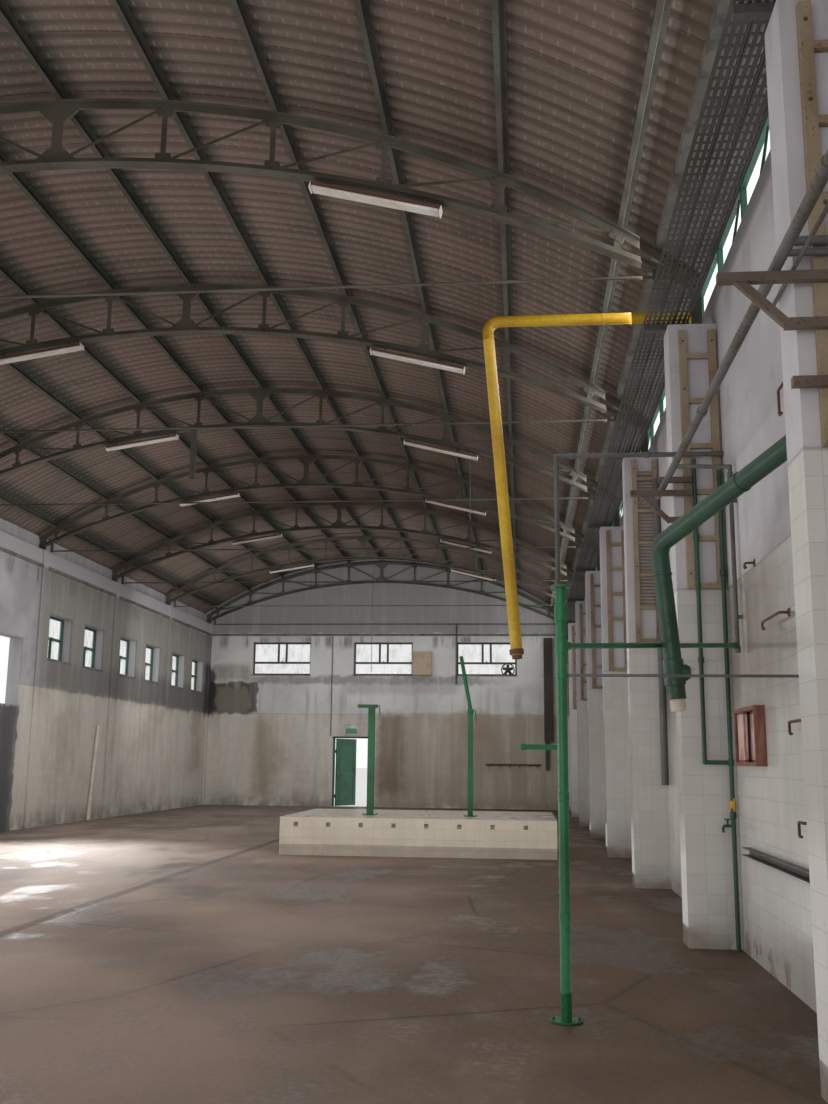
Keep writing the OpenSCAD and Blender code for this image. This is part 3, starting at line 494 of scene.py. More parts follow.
def dusty_glass():
    """Clear glass under a film of dust; the inner faces of the clerestory panes glow with painted daylight.
    """
    pane = Finish("glass_finish")
    film = pane.noise(2.6, 5.0)
    streaks = pane.noise(7.0, 4.0, (1.0, 1.0, 0.25))
    dust = film.step(0.3, 0.75) * streaks.step(0.3, 0.7)
    colour = dust.mix((196, 210, 206), (206, 200, 186))
    # Painted glow: the clerestory panes' inner faces emit light and are made less clear, standing in for
    # bright daylight.
    painted_glow = pane.axes()[0].step(INSIDE_X, INSIDE_X + 0.02) * pane.facing()[0].step(-0.4, -0.6)
    pane.feed(pane.surface["Alpha"], dust * 0.24 + 0.12 + painted_glow * 0.6)
    pane.feed(pane.surface["Emission Color"], rgb(240, 250, 246))
    pane.feed(pane.surface["Emission Strength"], painted_glow * 1.25)
    return pane.finish(colour, dust.step(0.0, 1.0, 0.06, 0.5), film, 0.05, 0.001)


def old_wood(name, colour):
    """Boards with long grain, pale where the paint has gone."""
    board = Finish(name)
    grain = board.noise(3.0, 6.0, (14.0, 14.0, 1.0), 0.65)
    cloud = board.noise(2.4, 4.0)
    fine = board.noise(90.0, 3.0, (6.0, 6.0, 1.0))
    base = (grain.step(0.4, 0.75) * 0.45).mix(colour, (196, 176, 158))
    base = (cloud.step(0.5, 0.75) * 0.6).darken(base, 0.55)
    return board.finish(base, grain.step(0.3, 0.7, 0.6, 0.88), grain + fine, 0.5, 0.002)


def enamel(name, colour, grime):
    """White or cream enamel with yellowed grime and a few rust marks."""
    shell = Finish(name)
    cloud = shell.noise(5.0, 5.0)
    marks = shell.noise(30.0, 5.0)
    base = (cloud.step(0.4, 0.7) * 0.6).mix(colour, grime)
    base = (marks.step(0.66, 0.72) * 0.7).mix(base, (110, 78, 56))
    return shell.finish(base, cloud.step(0.3, 0.7, 0.28, 0.6), marks, 0.15, 0.001)


def framed_slats():
    """Reddish wood round paler slats, whose paint has worn to pink and white."""
    board = Finish("wood_finish")
    _, y, z = board.axes()
    low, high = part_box("wall_frame")
    rim = 0.045
    inner = y.within(low.y + rim, high.y - rim, 0.002) * z.within(low.z + rim, high.z - rim, 0.002)
    grain = board.noise(5.0, 6.0, (8.0, 8.0, 0.8), 0.65)
    fine = board.noise(120.0, 3.0, (1.0, 6.0, 0.5))
    pale = grain.step(0.35, 0.6).mix((158, 104, 88), (214, 192, 182))
    rim_colour = grain.step(0.4, 0.7).mix((112, 66, 52), (150, 112, 94))
    colour = inner.mix(rim_colour, pale)
    return board.finish(colour, grain.step(0.3, 0.7, 0.6, 0.88), grain + fine, 0.4, 0.002)


# Patches on the walls. Each row gives the spans along x, y and z, as low, high and softness,
# then the colour and the strength. A span under 0.2 keeps straight edges.


def patches_left():
    """Stains of the left wall: under the opening, beneath the far windows and in the corner."""
    hole = truss_y(OPEN_BAY) + 0.72
    corner = INSIDE_Y + 1
    return [
        (None, (hole - 0.1, hole + 2.7, 0.04), (FLOOR_Z - 1, 2.57, 0.03), (112, 112, 116), 0.9),
        (None, (hole + 1.7, hole + 2.62, 0.16), (FLOOR_Z - 1, 2.6, 0.1), (60, 60, 64), 0.85),
        (None, (hole + 3.4, corner, 0.5), (TILE_TOP, LEDGE_LOW, 0.02), (126, 122, 114), 0.8),
        (None, (hole + 3.9, corner, 0.3), (TILE_TOP, 3.6, 0.12), (100, 98, 96), 0.5),
        (None, (hole + 7.6, corner, 0.5), (TILE_TOP, 3.75, 0.15), (84, 82, 82), 0.5),
        (None, (INSIDE_Y - 0.5, corner, 0.2), (2.9, 4.5, 0.12), (44, 43, 44), 0.85),
    ]


def patches_gable():
    """Stains of the gables: a dark patch with a paler middle, brown runs and grey plaster by the windows, and
    painted shade on the back gable over the ledge.
    """
    back = (INSIDE_Y - 0.05, INSIDE_Y + 0.12, 0.02)
    return [
        # Painted shade on the back gable above the ledges, where it lies under the roof.
        (None, back, (5.45, 9.0, 0.02), (140, 140, 136), 0.75),
        ((-4.4, 3.6, 0.3), back, (3.9, 4.15, 0.06), (120, 118, 116), 0.7),
        ((-1.4, 2.1, 0.2), back, (3.6, 3.95, 0.1), (150, 146, 142), 0.5),
        ((-6.0, -4.15, 0.04), back, (TILE_TOP, 3.95, 0.05), (62, 58, 54), 0.92),
        ((-5.45, -4.4, 0.07), back, (3.02, 3.78, 0.07), (122, 116, 104), 0.9),
        ((-5.5, -4.4, 0.1), back, (4.0, 4.5, 0.1), (140, 132, 120), 0.75),
        ((-6.0, -5.5, 0.06), back, (TILE_TOP, 4.4, 0.15), (40, 38, 38), 0.9),
        ((-0.4, 6.0, 0.3), back, (0.2, 3.0, 0.1), (134, 122, 102), 0.7),
        ((-0.3, 0.45, 0.2), back, (0.6, 3.0, 0.2), (104, 84, 62), 0.8),
        ((-4.2, -3.6, 0.25), back, (0.4, 2.9, 0.3), (142, 128, 104), 0.75),
        ((2.0, 3.2, 0.5), back, (2.2, 3.0, 0.3), (140, 112, 84), 0.6),
        ((2.9, 4.6, 0.4), back, (3.9, 5.3, 0.2), (226, 224, 220), 0.6),
    ]


def patches_right():
    """Stains of the right wall: dirt behind the pipes, and darker bases of the piers."""
    return [
        ((PIER_X - 0.3, INSIDE_X - 0.02, 0.01), None, (FLOOR_Z - 1, FLOOR_Z + 0.1, 0.06), (122, 96, 74), 0.6),
        ((INSIDE_X - 0.02, INSIDE_X + 0.1, 0.01), None, (2.0, 3.0, 0.3), (138, 128, 116), 0.75),
    ]


# The maker of each finish and what it is given
FINISHES = {
    "left_wall": (wall, "left_wall_finish", "plaster", "dado", patches_left),
    "gable": (wall, "gable_finish", (208, 208, 206), "dado", patches_gable),
    "right_wall": (wall, "right_wall_finish", (204, 201, 204), "glazed", patches_right, 0.16, 0.3),
    "platform": (wall, "platform_finish", "plaster", (214, 203, 184), None, 0.3, 0.35),
    "floor": (floor_concrete,),
    "concrete": (rough_concrete,),
    "glass": (dusty_glass,),
    "roof_sheet": (roof_sheet,),
    "purlins": (purlin_paint,),
    "wood": (framed_slats,),
    "box": (old_wood, "wall_box_finish", (172, 154, 132)),
    "steel": (paint, "steel_finish", "steel", 0.35, 0.6),
    "bolts": (paint, "bolt_finish", (92, 90, 84), 0.8, 0.5),
    "planks": (paint, "plank_finish", "planks", 0.2, 0.45),
    "frames": (paint, "window_paint_finish", "frames", 0.4, 0.5, (92, 66, 50), (62, 70, 62)),
    "door": (paint, "door_paint_finish", "door", 0.15, 0.42),
    "racks": (paint, "rack_paint_finish", "racks", 0.6, 0.6, (110, 84, 62)),
    "brackets": (paint, "bracket_finish", (112, 98, 88), 0.8, 0.6),
    "yellow": (paint, "yellow_paint_finish", "yellow", 0.25, 0.38, (120, 88, 40)),
    "green": (paint, "green_paint_finish", "green", 0.2, 0.4, (38, 62, 46)),
    "dark_green": (paint, "dark_green_paint_finish", "dark_green", 0.3, 0.45, (48, 52, 46)),
    "grey": (paint, "grey_pipe_finish", "grey", 0.6, 0.5),
    "rust": (paint, "rusty_metal_finish", (112, 76, 60), 0.9, 0.7),
    "duct": (paint, "duct_finish", (62, 54, 48), 0.5, 0.6),
    "lamp": (enamel, "lamp_enamel_finish", (226, 222, 216), (190, 180, 158)),
    "tube": (enamel, "lamp_tube_finish", (236, 234, 230), (216, 210, 198)),
    "sign": (enamel, "sign_finish", (196, 200, 194), (150, 140, 120)),
    "sign_face": (enamel, "sign_face_finish", (58, 138, 96), (70, 110, 84)),
    "thread": (enamel, "thread_finish", (200, 190, 176), (150, 120, 96)),
    "drain": (enamel, "drain_finish", (212, 205, 190), (182, 172, 152)),
}

BACK_NODES = ["back_wall_left", "back_wall_right", "back_wall_over_door", "back_window_piers", "back_gable"]
FRONT_NODES = ["front_wall_lower", "front_window_piers", "front_gable"]
NODE_FINISHES = {
    "left_wall": ["left_wall_lower", "left_wall_window_piers", "left_wall_upper", "left_wall_pilasters"],
    "gable": BACK_NODES + FRONT_NODES,
    "right_wall": ["right_wall", "right_wall_piers"],
    "floor": ["floor_slab"],
    "concrete": ["eave_slab", "wall_ledges"],
    "glass": ["window_glass"],
    "steel": ["trusses_front", "trusses_middle", "trusses_back", "tie_rods", "eave_posts"],
    "purlins": ["purlins"],
    "frames": ["window_frames", "clerestory_frames"],
    "door": ["door_frame", "door_leaf"],
    "racks": ["pipe_rack_frames"],
    "brackets": ["pipe_brackets"],
    "dark_green": ["pier_pipes"],
    "grey": ["grey_steelwork"],
    "green": ["platform_posts"],
    "box": ["wall_box"],
    "duct": ["wall_duct"],
    "wood": ["wall_frame"],
    "drain": ["drain_pipe"],
}

made_finishes = {}


def finish_of(name):
    """The named material, made when first asked for."""
    if name not in made_finishes:
        maker, *values = FINISHES[name]
        made_finishes[name] = maker(*values)
    return made_finishes[name]


# Shapes


def of_kind(geometry, kind):
    """The parts of one kind among what a mesh step made."""
    return [part for part in geometry if isinstance(part, kind)]


def faces_round(corners):
    """Every face at these corners."""
    return list({face for corner in corners if corner.is_valid for face in corner.link_faces})


def add_block(bm, low, high, edge=0.0, turn=None):
    """A bar between two corners, with its edges taken off, turned about its own place by a matrix."""
    low = Vector(low)
    size = Vector(high) - low
    place = Matrix.Translation(low + size / 2) @ Matrix.Diagonal((size.x, size.y, size.z, 1.0))
    if turn is not None:
        place = turn @ place
    made = bmesh.ops.create_cube(bm, size=1.0, matrix=place)["verts"]
    if edge:
        edges = list({e for v in made for e in v.link_edges})
        bevel = {"offset": edge, "affect": "EDGES", "segments": 1, "profile": 0.5, "material": -1}
        bmesh.ops.bevel(bm, geom=edges, clamp_overlap=True, **bevel)


def rim_bars(low, high, bar):
    """Low and high corners of the four bars inside the edge of a rectangle."""
    (a_low, b_low), (a_high, b_high) = low, high
    return (
        ((a_low, b_low), (a_high, b_low + bar)),
        ((a_low, b_high - bar), (a_high, b_high)),
        ((a_low, b_low + bar), (a_low + bar, b_high - bar)),
        ((a_high - bar, b_low + bar), (a_high, b_high - bar)),
    )


def turned_to(start, way):
    """Matrix that stands an upright shape at a point along a direction."""
    return Matrix.Translation(start) @ way.to_track_quat("Z", "Y").to_matrix().to_4x4()


def add_rod(bm, start, end, radius, sides=12, end_radius=None):
    """A round bar, which may taper."""
    start = Vector(start)
    way = Vector(end) - start
    bmesh.ops.create_cone(
        bm,
        cap_ends=True,
        segments=sides,
        radius1=radius,
        radius2=radius if end_radius is None else end_radius,
        depth=way.length,
        matrix=turned_to(start + way / 2, way),
    )


def add_collar(bm, centre, way, radius, length, sides=20, lip=0.004):
    """A short sleeve round a pipe, with rounded rims."""
    way = Vector(way).normalized()
    low = Vector(centre) - way * length / 2
    high = Vector(centre) + way * length / 2
    add_rod(bm, low, low + way * lip, radius - lip, sides, radius)
    add_rod(bm, low + way * lip, high - way * lip, radius, sides)
    add_rod(bm, high - way * lip, high, radius, sides, radius - lip)


def add_bolts(bm, centre, way, ring, count, size):
    """Hexagon heads on a ring."""
    way = Vector(way).normalized()
    place = turned_to(Vector(centre), way)
    for i in range(count):
        angle = 2 * math.pi * i / count
        spot = place @ Vector((ring * math.cos(angle), ring * math.sin(angle), 0.0))
        add_rod(bm, spot, spot + way * size * 0.8, size / 2, 6, size * 0.42)


def add_flange(bm, centre, way, radius, thickness, bolts=4):
    """A round plate with bolts."""
    add_collar(bm, centre + way * thickness / 2, way, radius, thickness, 24, thickness * 0.2)
    add_bolts(bm, centre + way * thickness, way, radius * 0.78, bolts, radius * 0.2)


def push_face(bm, face, by):
    """Draws a face out by a vector and gives the face at the new end."""
    moved = bmesh.ops.extrude_face_region(bm, geom=[face])["geom"]
    face = of_kind(moved, BMFace)[0]
    bmesh.ops.translate(bm, vec=by, verts=face.verts)
    return face


def add_pipe(bm, points, radius, bend=0.0, sides=20, steps=6, hollow=0.0):
    """A pipe along straight stretches with round bends, and an open far end where hollow is set."""
    points = [Vector(p) for p in points]
    way = (points[1] - points[0]).normalized()
    made = bmesh.ops.create_circle(
        bm, cap_ends=True, radius=radius, segments=sides, matrix=turned_to(points[0], way)
    )
    face = made["verts"][0].link_faces[0]
    at = points[0]
    for i in range(1, len(points)):
        turn_to = (points[i + 1] - points[i]).normalized() if i + 1 < len(points) else way
        angle = way.angle(turn_to)
        end = points[i] - way * bend * math.tan(angle / 2)
        face = push_face(bm, face, end - at)
        at = end
        if angle > 0.001:
            aside = (turn_to - way * way.dot(turn_to)).normalized()
            spun = bmesh.ops.spin(
                bm,
                geom=[face] + list(face.verts) + list(face.edges),
                cent=end + aside * bend,
                axis=way.cross(turn_to).normalized(),
                angle=angle,
                steps=steps,
                use_merge=False,
                use_duplicate=False,
            )["geom_last"]
            face = of_kind(spun, BMFace)[0]
            at = face.calc_center_median()
        way = turn_to
    if hollow:
        bmesh.ops.inset_individual(bm, faces=[face], thickness=hollow, use_even_offset=True)
        push_face(bm, face, -way * radius * 3)


def add_piece(name, bm, finish, replaces=(), body="building", sharp=38.0):
    """Makes the finished piece from its mesh, smooth but for its sharp edges."""
    bmesh.ops.recalc_face_normals(bm, faces=bm.faces)
    limit = math.radians(sharp)
    for edge in bm.edges:
        edge.smooth = edge.calc_face_angle(0.0) < limit
    for face in bm.faces:
        face.smooth = True
    mesh = bpy.data.meshes.new(name)
    bm.to_mesh(mesh)
    bm.free()
    piece = bpy.data.objects.new(name, mesh)
    bpy.context.scene.collection.objects.link(piece)
    mesh.materials.append(finish_of(finish))
    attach(piece, body)
    if replaces:
        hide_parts(*replaces)
    return piece


class HALL_OT_finishes(bpy.types.Operator):
    """Give every shown node of the frame its finish"""

    bl_idname = "hall.finishes"
    bl_label = "Finishes"
    bl_options = {"REGISTER", "UNDO"}

    def execute(self, context):
        for finish, nodes in NODE_FINISHES.items():
            for node in nodes:
                shape = frame["nodes"][node]
                if not shape.material_slots:
                    raise RuntimeError(f"{node} has no material slot")
                for place in shape.material_slots:
                    place.material = finish_of(finish)
        return {"FINISHED"}


class HALL_OT_roof_sheets(bpy.types.Operator):
    """Lay the corrugated sheets of the roof in three lapped rows on either side"""

    bl_idname = "hall.roof_sheets"
    bl_label = "Roof Sheets"
    bl_options = {"REGISTER", "UNDO"}

    row_purlins = (0, 2, 4)
    row_steps = 6
    wave_steps = 6
    lap = 0.012
    left_overhang = 0.25
    right_bearing = 0.08

    def execute(self, context):
        left_reach = OUTSIDE_X + self.left_overhang + ARCH_X
        right_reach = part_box("eave_slab")[0].x + self.right_bearing - ARCH_X
        self.side("corrugated_sheets_left", -1, left_reach, "roof_sheets_left")
        self.side("corrugated_sheets_right", 1, right_reach, "roof_sheets_right")
        return {"FINISHED"}

    def side(self, name, side, reach, node):
        bm = bmesh.new()
        lines = [math.asin(i * PURLIN_PITCH / CHORD_RADIUS) for i in self.row_purlins]
        lines.append(math.asin(reach / SHEET_RADIUS))
        last = len(lines) - 2
        for i in range(last + 1):
            start = lines[i] if i == 0 else lines[i] - self.lap / 2
            stop = lines[i + 1] if i == last else lines[i + 1] + self.lap
            self.row(bm, side, start, stop)
        add_piece(name, bm, "roof_sheet", (node,), sharp=60.0)

    def row(self, bm, side, start, stop):
        """One row: a flat grid bent over the arch, with its waves, then given its thickness."""
        thick = sizes().sheet_thickness
        tilt = thick * 0.9
        swing = (SHEET_DEPTH - thick - tilt) / 2
        middle = SHEET_RADIUS + thick / 2 + tilt / 2 + swing
        waves = wave_count()
        made = bmesh.ops.create_grid(
            bm, x_segments=self.row_steps, y_segments=waves * self.wave_steps, size=0.5
        )["verts"]
        for v in made:
            share = v.co.x + 0.5
            angle = start + share * (stop - start)
            wave = swing * math.cos(2 * math.pi * (v.co.y + 0.5) * waves)
            radius = middle + wave + tilt * (share - 0.5)
            y = 2 * v.co.y * ROOF_END_Y
            v.co = (ARCH_X + side * radius * math.sin(angle), y, ARCH_Z + radius * math.cos(angle))
        faces = faces_round(made)
        bmesh.ops.recalc_face_normals(bm, faces=faces)
        shell = bmesh.ops.solidify(bm, geom=faces, thickness=thick)
        if not of_kind(shell["geom"], BMFace):
            raise RuntimeError("a row of roof sheets has no thickness")


class HALL_OT_roof_fixings(bpy.types.Operator):
    """Set the ridge roll and the capped hook bolts on the roof"""

    bl_idname = "hall.roof_fixings"
    bl_label = "Roof Fixings"
    bl_options = {"REGISTER", "UNDO"}

    waves_per_bolt = 4
    past_purlin = 0.03
    washer = (0.007, 0.022, 0.015)
    tip = (0.02, 0.008, 0.006)
    ridge_half = 0.19
    roll_half = 0.07
    roll_rise = 0.03
    ridge_thickness = 0.006

    def execute(self, context):
        self.ridge()
        bm = bmesh.new()
        top = SHEET_RADIUS + SHEET_DEPTH - 0.006
        waves = wave_count()
        for i in range(-SIDE_PURLINS, SIDE_PURLINS + 1):
            if i == 0:
                continue
            angle = math.asin((i * PURLIN_PITCH + self.past_purlin) / CHORD_RADIUS)
            way = Vector((math.sin(angle), 0, math.cos(angle)))
            for k in range(1, waves, self.waves_per_bolt):
                foot = Vector((ARCH_X, 2 * ROOF_END_Y * k / waves - ROOF_END_Y, ARCH_Z)) + way * top
                start = foot
                for (height, low_radius, high_radius), sides in ((self.washer, 8), (self.tip, 6)):
                    add_rod(bm, start, foot + way * height, low_radius, sides, high_radius)
                    start = foot + way * height
        add_piece("roof_bolts", bm, "bolts")
        return {"FINISHED"}

    def ridge(self):
        """A roll over the joint of the two sides."""
        bm = bmesh.new()
        top = arch_height(SHEET_RADIUS + SHEET_DEPTH, ARCH_X)
        for v in bmesh.ops.create_grid(bm, x_segments=12, y_segments=42, size=0.5)["verts"]:
            across = v.co.x * 2 * self.ridge_half
            rise = self.roll_rise * max(0.0, 1 - (across / self.roll_half) ** 2)
            fall = across**2 / (2 * SHEET_RADIUS)
            v.co = (ARCH_X + across, v.co.y * 2 * (ROOF_END_Y - 0.002), top + rise - fall)
        bmesh.ops.recalc_face_normals(bm, faces=bm.faces)
        bmesh.ops.solidify(bm, geom=list(bm.faces), thickness=self.ridge_thickness)
        add_piece("ridge_roll", bm, "roof_sheet")


class HALL_OT_truss_plates(bpy.types.Operator):
    """Put gusset plates, bolts and purlin cleats on the trusses"""

    bl_idname = "hall.truss_plates"
    bl_label = "Truss Plates"
    bl_options = {"REGISTER", "UNDO"}

    plate_half = (0.07, 0.04)
    plate_in = 0.003
    plate_out = 0.004
    bolt_places = ((-0.05, 0.012), (0.0, -0.018), (0.05, 0.012))
    cleat_bolts = (0.045, 0.08)

    def execute(self, context):
        plates, bolts, cleats = bmesh.new(), bmesh.new(), bmesh.new()
        below = CHORD_DEPTH + 0.012
        for k in truss_lines():
            y = truss_y(k)
            for i in range(-SIDE_PURLINS, SIDE_PURLINS + 1):
                x = ARCH_X + i * PURLIN_PITCH
                top = arch_height(CHORD_RADIUS, x)
                top_turn = math.asin((x - ARCH_X) / CHORD_RADIUS)
                if i:
                    self.plate(plates, bolts, (x, y, top - below), top_turn)
                if 0 < abs(i) < SIDE_PURLINS:
                    tie_turn = math.asin((x - ARCH_X) / TIE_RADIUS)
                    self.plate(plates, bolts, (x, y, tie_height(x) + below), tie_turn)
                self.cleat(cleats, bolts, (x, y, top), top_turn)
        add_piece("truss_gussets", plates, "steel")
        add_piece("truss_bolts", bolts, "bolts")
        add_piece("purlin_cleats", cleats, "steel")
        return {"FINISHED"}

    def plate(self, plates, bolts, centre, angle):
        """A pair of small plates on the sides of the stem, with their bolts."""
        turn = Matrix.Translation(centre) @ Matrix.Rotation(angle, 4, "Y")
        across, up = self.plate_half
        for side in (-1, 1):
            far = side * (STEM_HALF + self.plate_out)
            y_low, y_high = sorted((side * (STEM_HALF - self.plate_in), far))
            add_block(plates, (-across, y_low, -up), (across, y_high, up), 0.003, turn)
            for x, z in self.bolt_places:
                foot = turn @ Vector((x, far, z))
                add_rod(bolts, foot, foot + Vector((0, side * 0.009, 0)), 0.011, 6, 0.009)

    def cleat(self, cleats, bolts, foot, angle):
        """An angle that holds a purlin to the top chord."""
        turn = Matrix.Translation(foot) @ Matrix.Rotation(angle, 4, "Y")
        add_block(cleats, (-0.006, -0.04, 0.002), (-0.0003, 0.04, 0.1), 0.0015, turn)
        add_block(cleats, (-0.066, -0.04, 0.0003), (-0.0065, 0.04, 0.008), 0.0015, turn)
        for z in self.cleat_bolts:
            add_rod(bolts, turn @ Vector((-0.006, 0.0, z)), turn @ Vector((-0.016, 0.0, z)), 0.01, 6, 0.008)


class HALL_OT_slotted_planks(bpy.types.Operator):
    """Lay three slotted planks side by side on their bearers from gable to gable"""

    bl_idname = "hall.slotted_planks"
    bl_label = "Slotted Planks"
    bl_options = {"REGISTER", "UNDO"}

    plank_count = 3
    slot_rows = 3
    slot_margin = 0.0125
    metal = 0.003
    play = 0.002
    bearer_height = 0.06
    bearer_half = 0.03

    def execute(self, context):
        low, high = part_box("perforated_tray")
        bed = low.z + self.bearer_height
        width = (high.x - low.x) / self.plank_count
        bm = bmesh.new()
        for i in range(self.plank_count):
            start = low.x + i * width
            self.plank(bm, start + self.play, start + width - self.play, bed + self.play, high.z)
        for k in truss_lines():
            y_low, y_high = truss_y(k) - self.bearer_half, truss_y(k) + self.bearer_half
            add_block(bm, (low.x, y_low, low.z), (high.x, y_high, bed), 0.004)
        add_piece("slotted_planks", bm, "planks", ("perforated_tray",), sharp=30.0)
        return {"FINISHED"}

    def plank(self, bm, x_low, x_high, z, z_top):
        """One plank: cells with a slot cut in each, then turned-up edges and thickness."""
        count = round(2 * INSIDE_Y / sizes().slot_pitch)
        made = bmesh.ops.create_grid(bm, x_segments=self.slot_rows, y_segments=count, size=0.5)["verts"]
        for v in made:
            v.co = (x_low + (v.co.x + 0.5) * (x_high - x_low), v.co.y * 2 * (INSIDE_Y - self.play), z)
        cells = faces_round(made)
        bmesh.ops.inset_individual(bm, faces=cells, thickness=self.slot_margin, use_even_offset=True)
        bmesh.ops.delete(bm, geom=cells, context="FACES")
        sheet = faces_round(made)

        def on_side(edge):
            return all(min(abs(v.co.x - x_low), abs(v.co.x - x_high)) < 1e-5 for v in edge.verts)

        rims = [e for e in {e for f in sheet for e in f.edges} if e.is_boundary and on_side(e)]
        risen = bmesh.ops.extrude_edge_only(bm, edges=rims)["geom"]
        bmesh.ops.translate(bm, vec=(0, 0, z_top - z), verts=of_kind(risen, BMVert))
        sheet += of_kind(risen, BMFace)
        bmesh.ops.recalc_face_normals(bm, faces=sheet)
        bmesh.ops.solidify(bm, geom=sheet, thickness=self.metal)


class HALL_OT_rack_parts(bpy.types.Operator):
    """Add the slats and bolts of the ladder frames and the hooks on the wall"""

    bl_idname = "hall.rack_parts"
    bl_label = "Rack Parts"
    bl_options = {"REGISTER", "UNDO"}

    slatted_line = 4
    slat_lean = math.radians(32)
    side_bar = 0.058
    # Distance in front of the fourth truss line, height, reach along the wall and drop of each hook
    hooks = (
        (3.14, 3.87, 0.7, 0.16),
        (2.17, 2.52, 0.5, 0.05),
        (2.9, 1.84, 0.62, 0.07),
        (2.83, 1.46, 0.12, 0.08),
        (2.51, 1.26, 0.12, 0.08),
        (3.02, 3.32, 0.05, 0.02),
        (1.23, 3.0, 0.06, 0.03),
    )

    def execute(self, context):
        low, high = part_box("pipe_rack_frames")
        slats = bmesh.new()
        pitch = sizes().slat_pitch
        y = truss_y(self.slatted_line) - RACK_REACH + 0.024
        lean = Matrix.Rotation(self.slat_lean, 4, "X")
        x_low, x_high = low.x + self.side_bar, high.x - self.side_bar
        for i in range(int((high.z - low.z - 0.5) / pitch)):
            turn = Matrix.Translation((0, y, low.z + 0.42 + i * pitch)) @ lean
            add_block(slats, (x_low, -0.018, -0.0025), (x_high, 0.018, 0.0025), 0.001, turn)
        add_piece("rack_slats", slats, "racks")
        fixings = bmesh.new()
        for k in range(1, sizes().bay_count + 1):
            near = truss_y(k) - RACK_REACH
            for x in (low.x + 0.03, high.x - 0.03):
                for z in (low.z + 0.12, low.z + 0.9, low.z + 1.68, high.z - 0.1):
                    add_rod(fixings, (x, near, z), (x, near - 0.008, z), 0.011, 6, 0.009)
        add_piece("rack_bolts", fixings, "bolts")
        hooks = bmesh.new()
        for back, height, reach, drop in self.hooks:
            self.hook(hooks, Vector((INSIDE_X, truss_y(3) - back, height)), reach, drop)
        add_piece("wall_hooks", hooks, "rust")
        return {"FINISHED"}

    def hook(self, bm, start, reach, drop):
        """A bar out of the wall that runs along it and ends in a hook."""
        out = start - ACROSS * 0.06
        tip = out + Vector((0, reach, 0))
        low = tip - UP * drop
        bend = min(0.012, drop * 0.4, reach * 0.2)
        add_block(bm, start - Vector((0.006, 0.025, 0.025)), start + Vector((0, 0.025, 0.025)), 0.002)
        add_pipe(bm, [start, out, tip, low, low - Vector((0, 0.05, 0))], 0.009, bend, 8, 3)


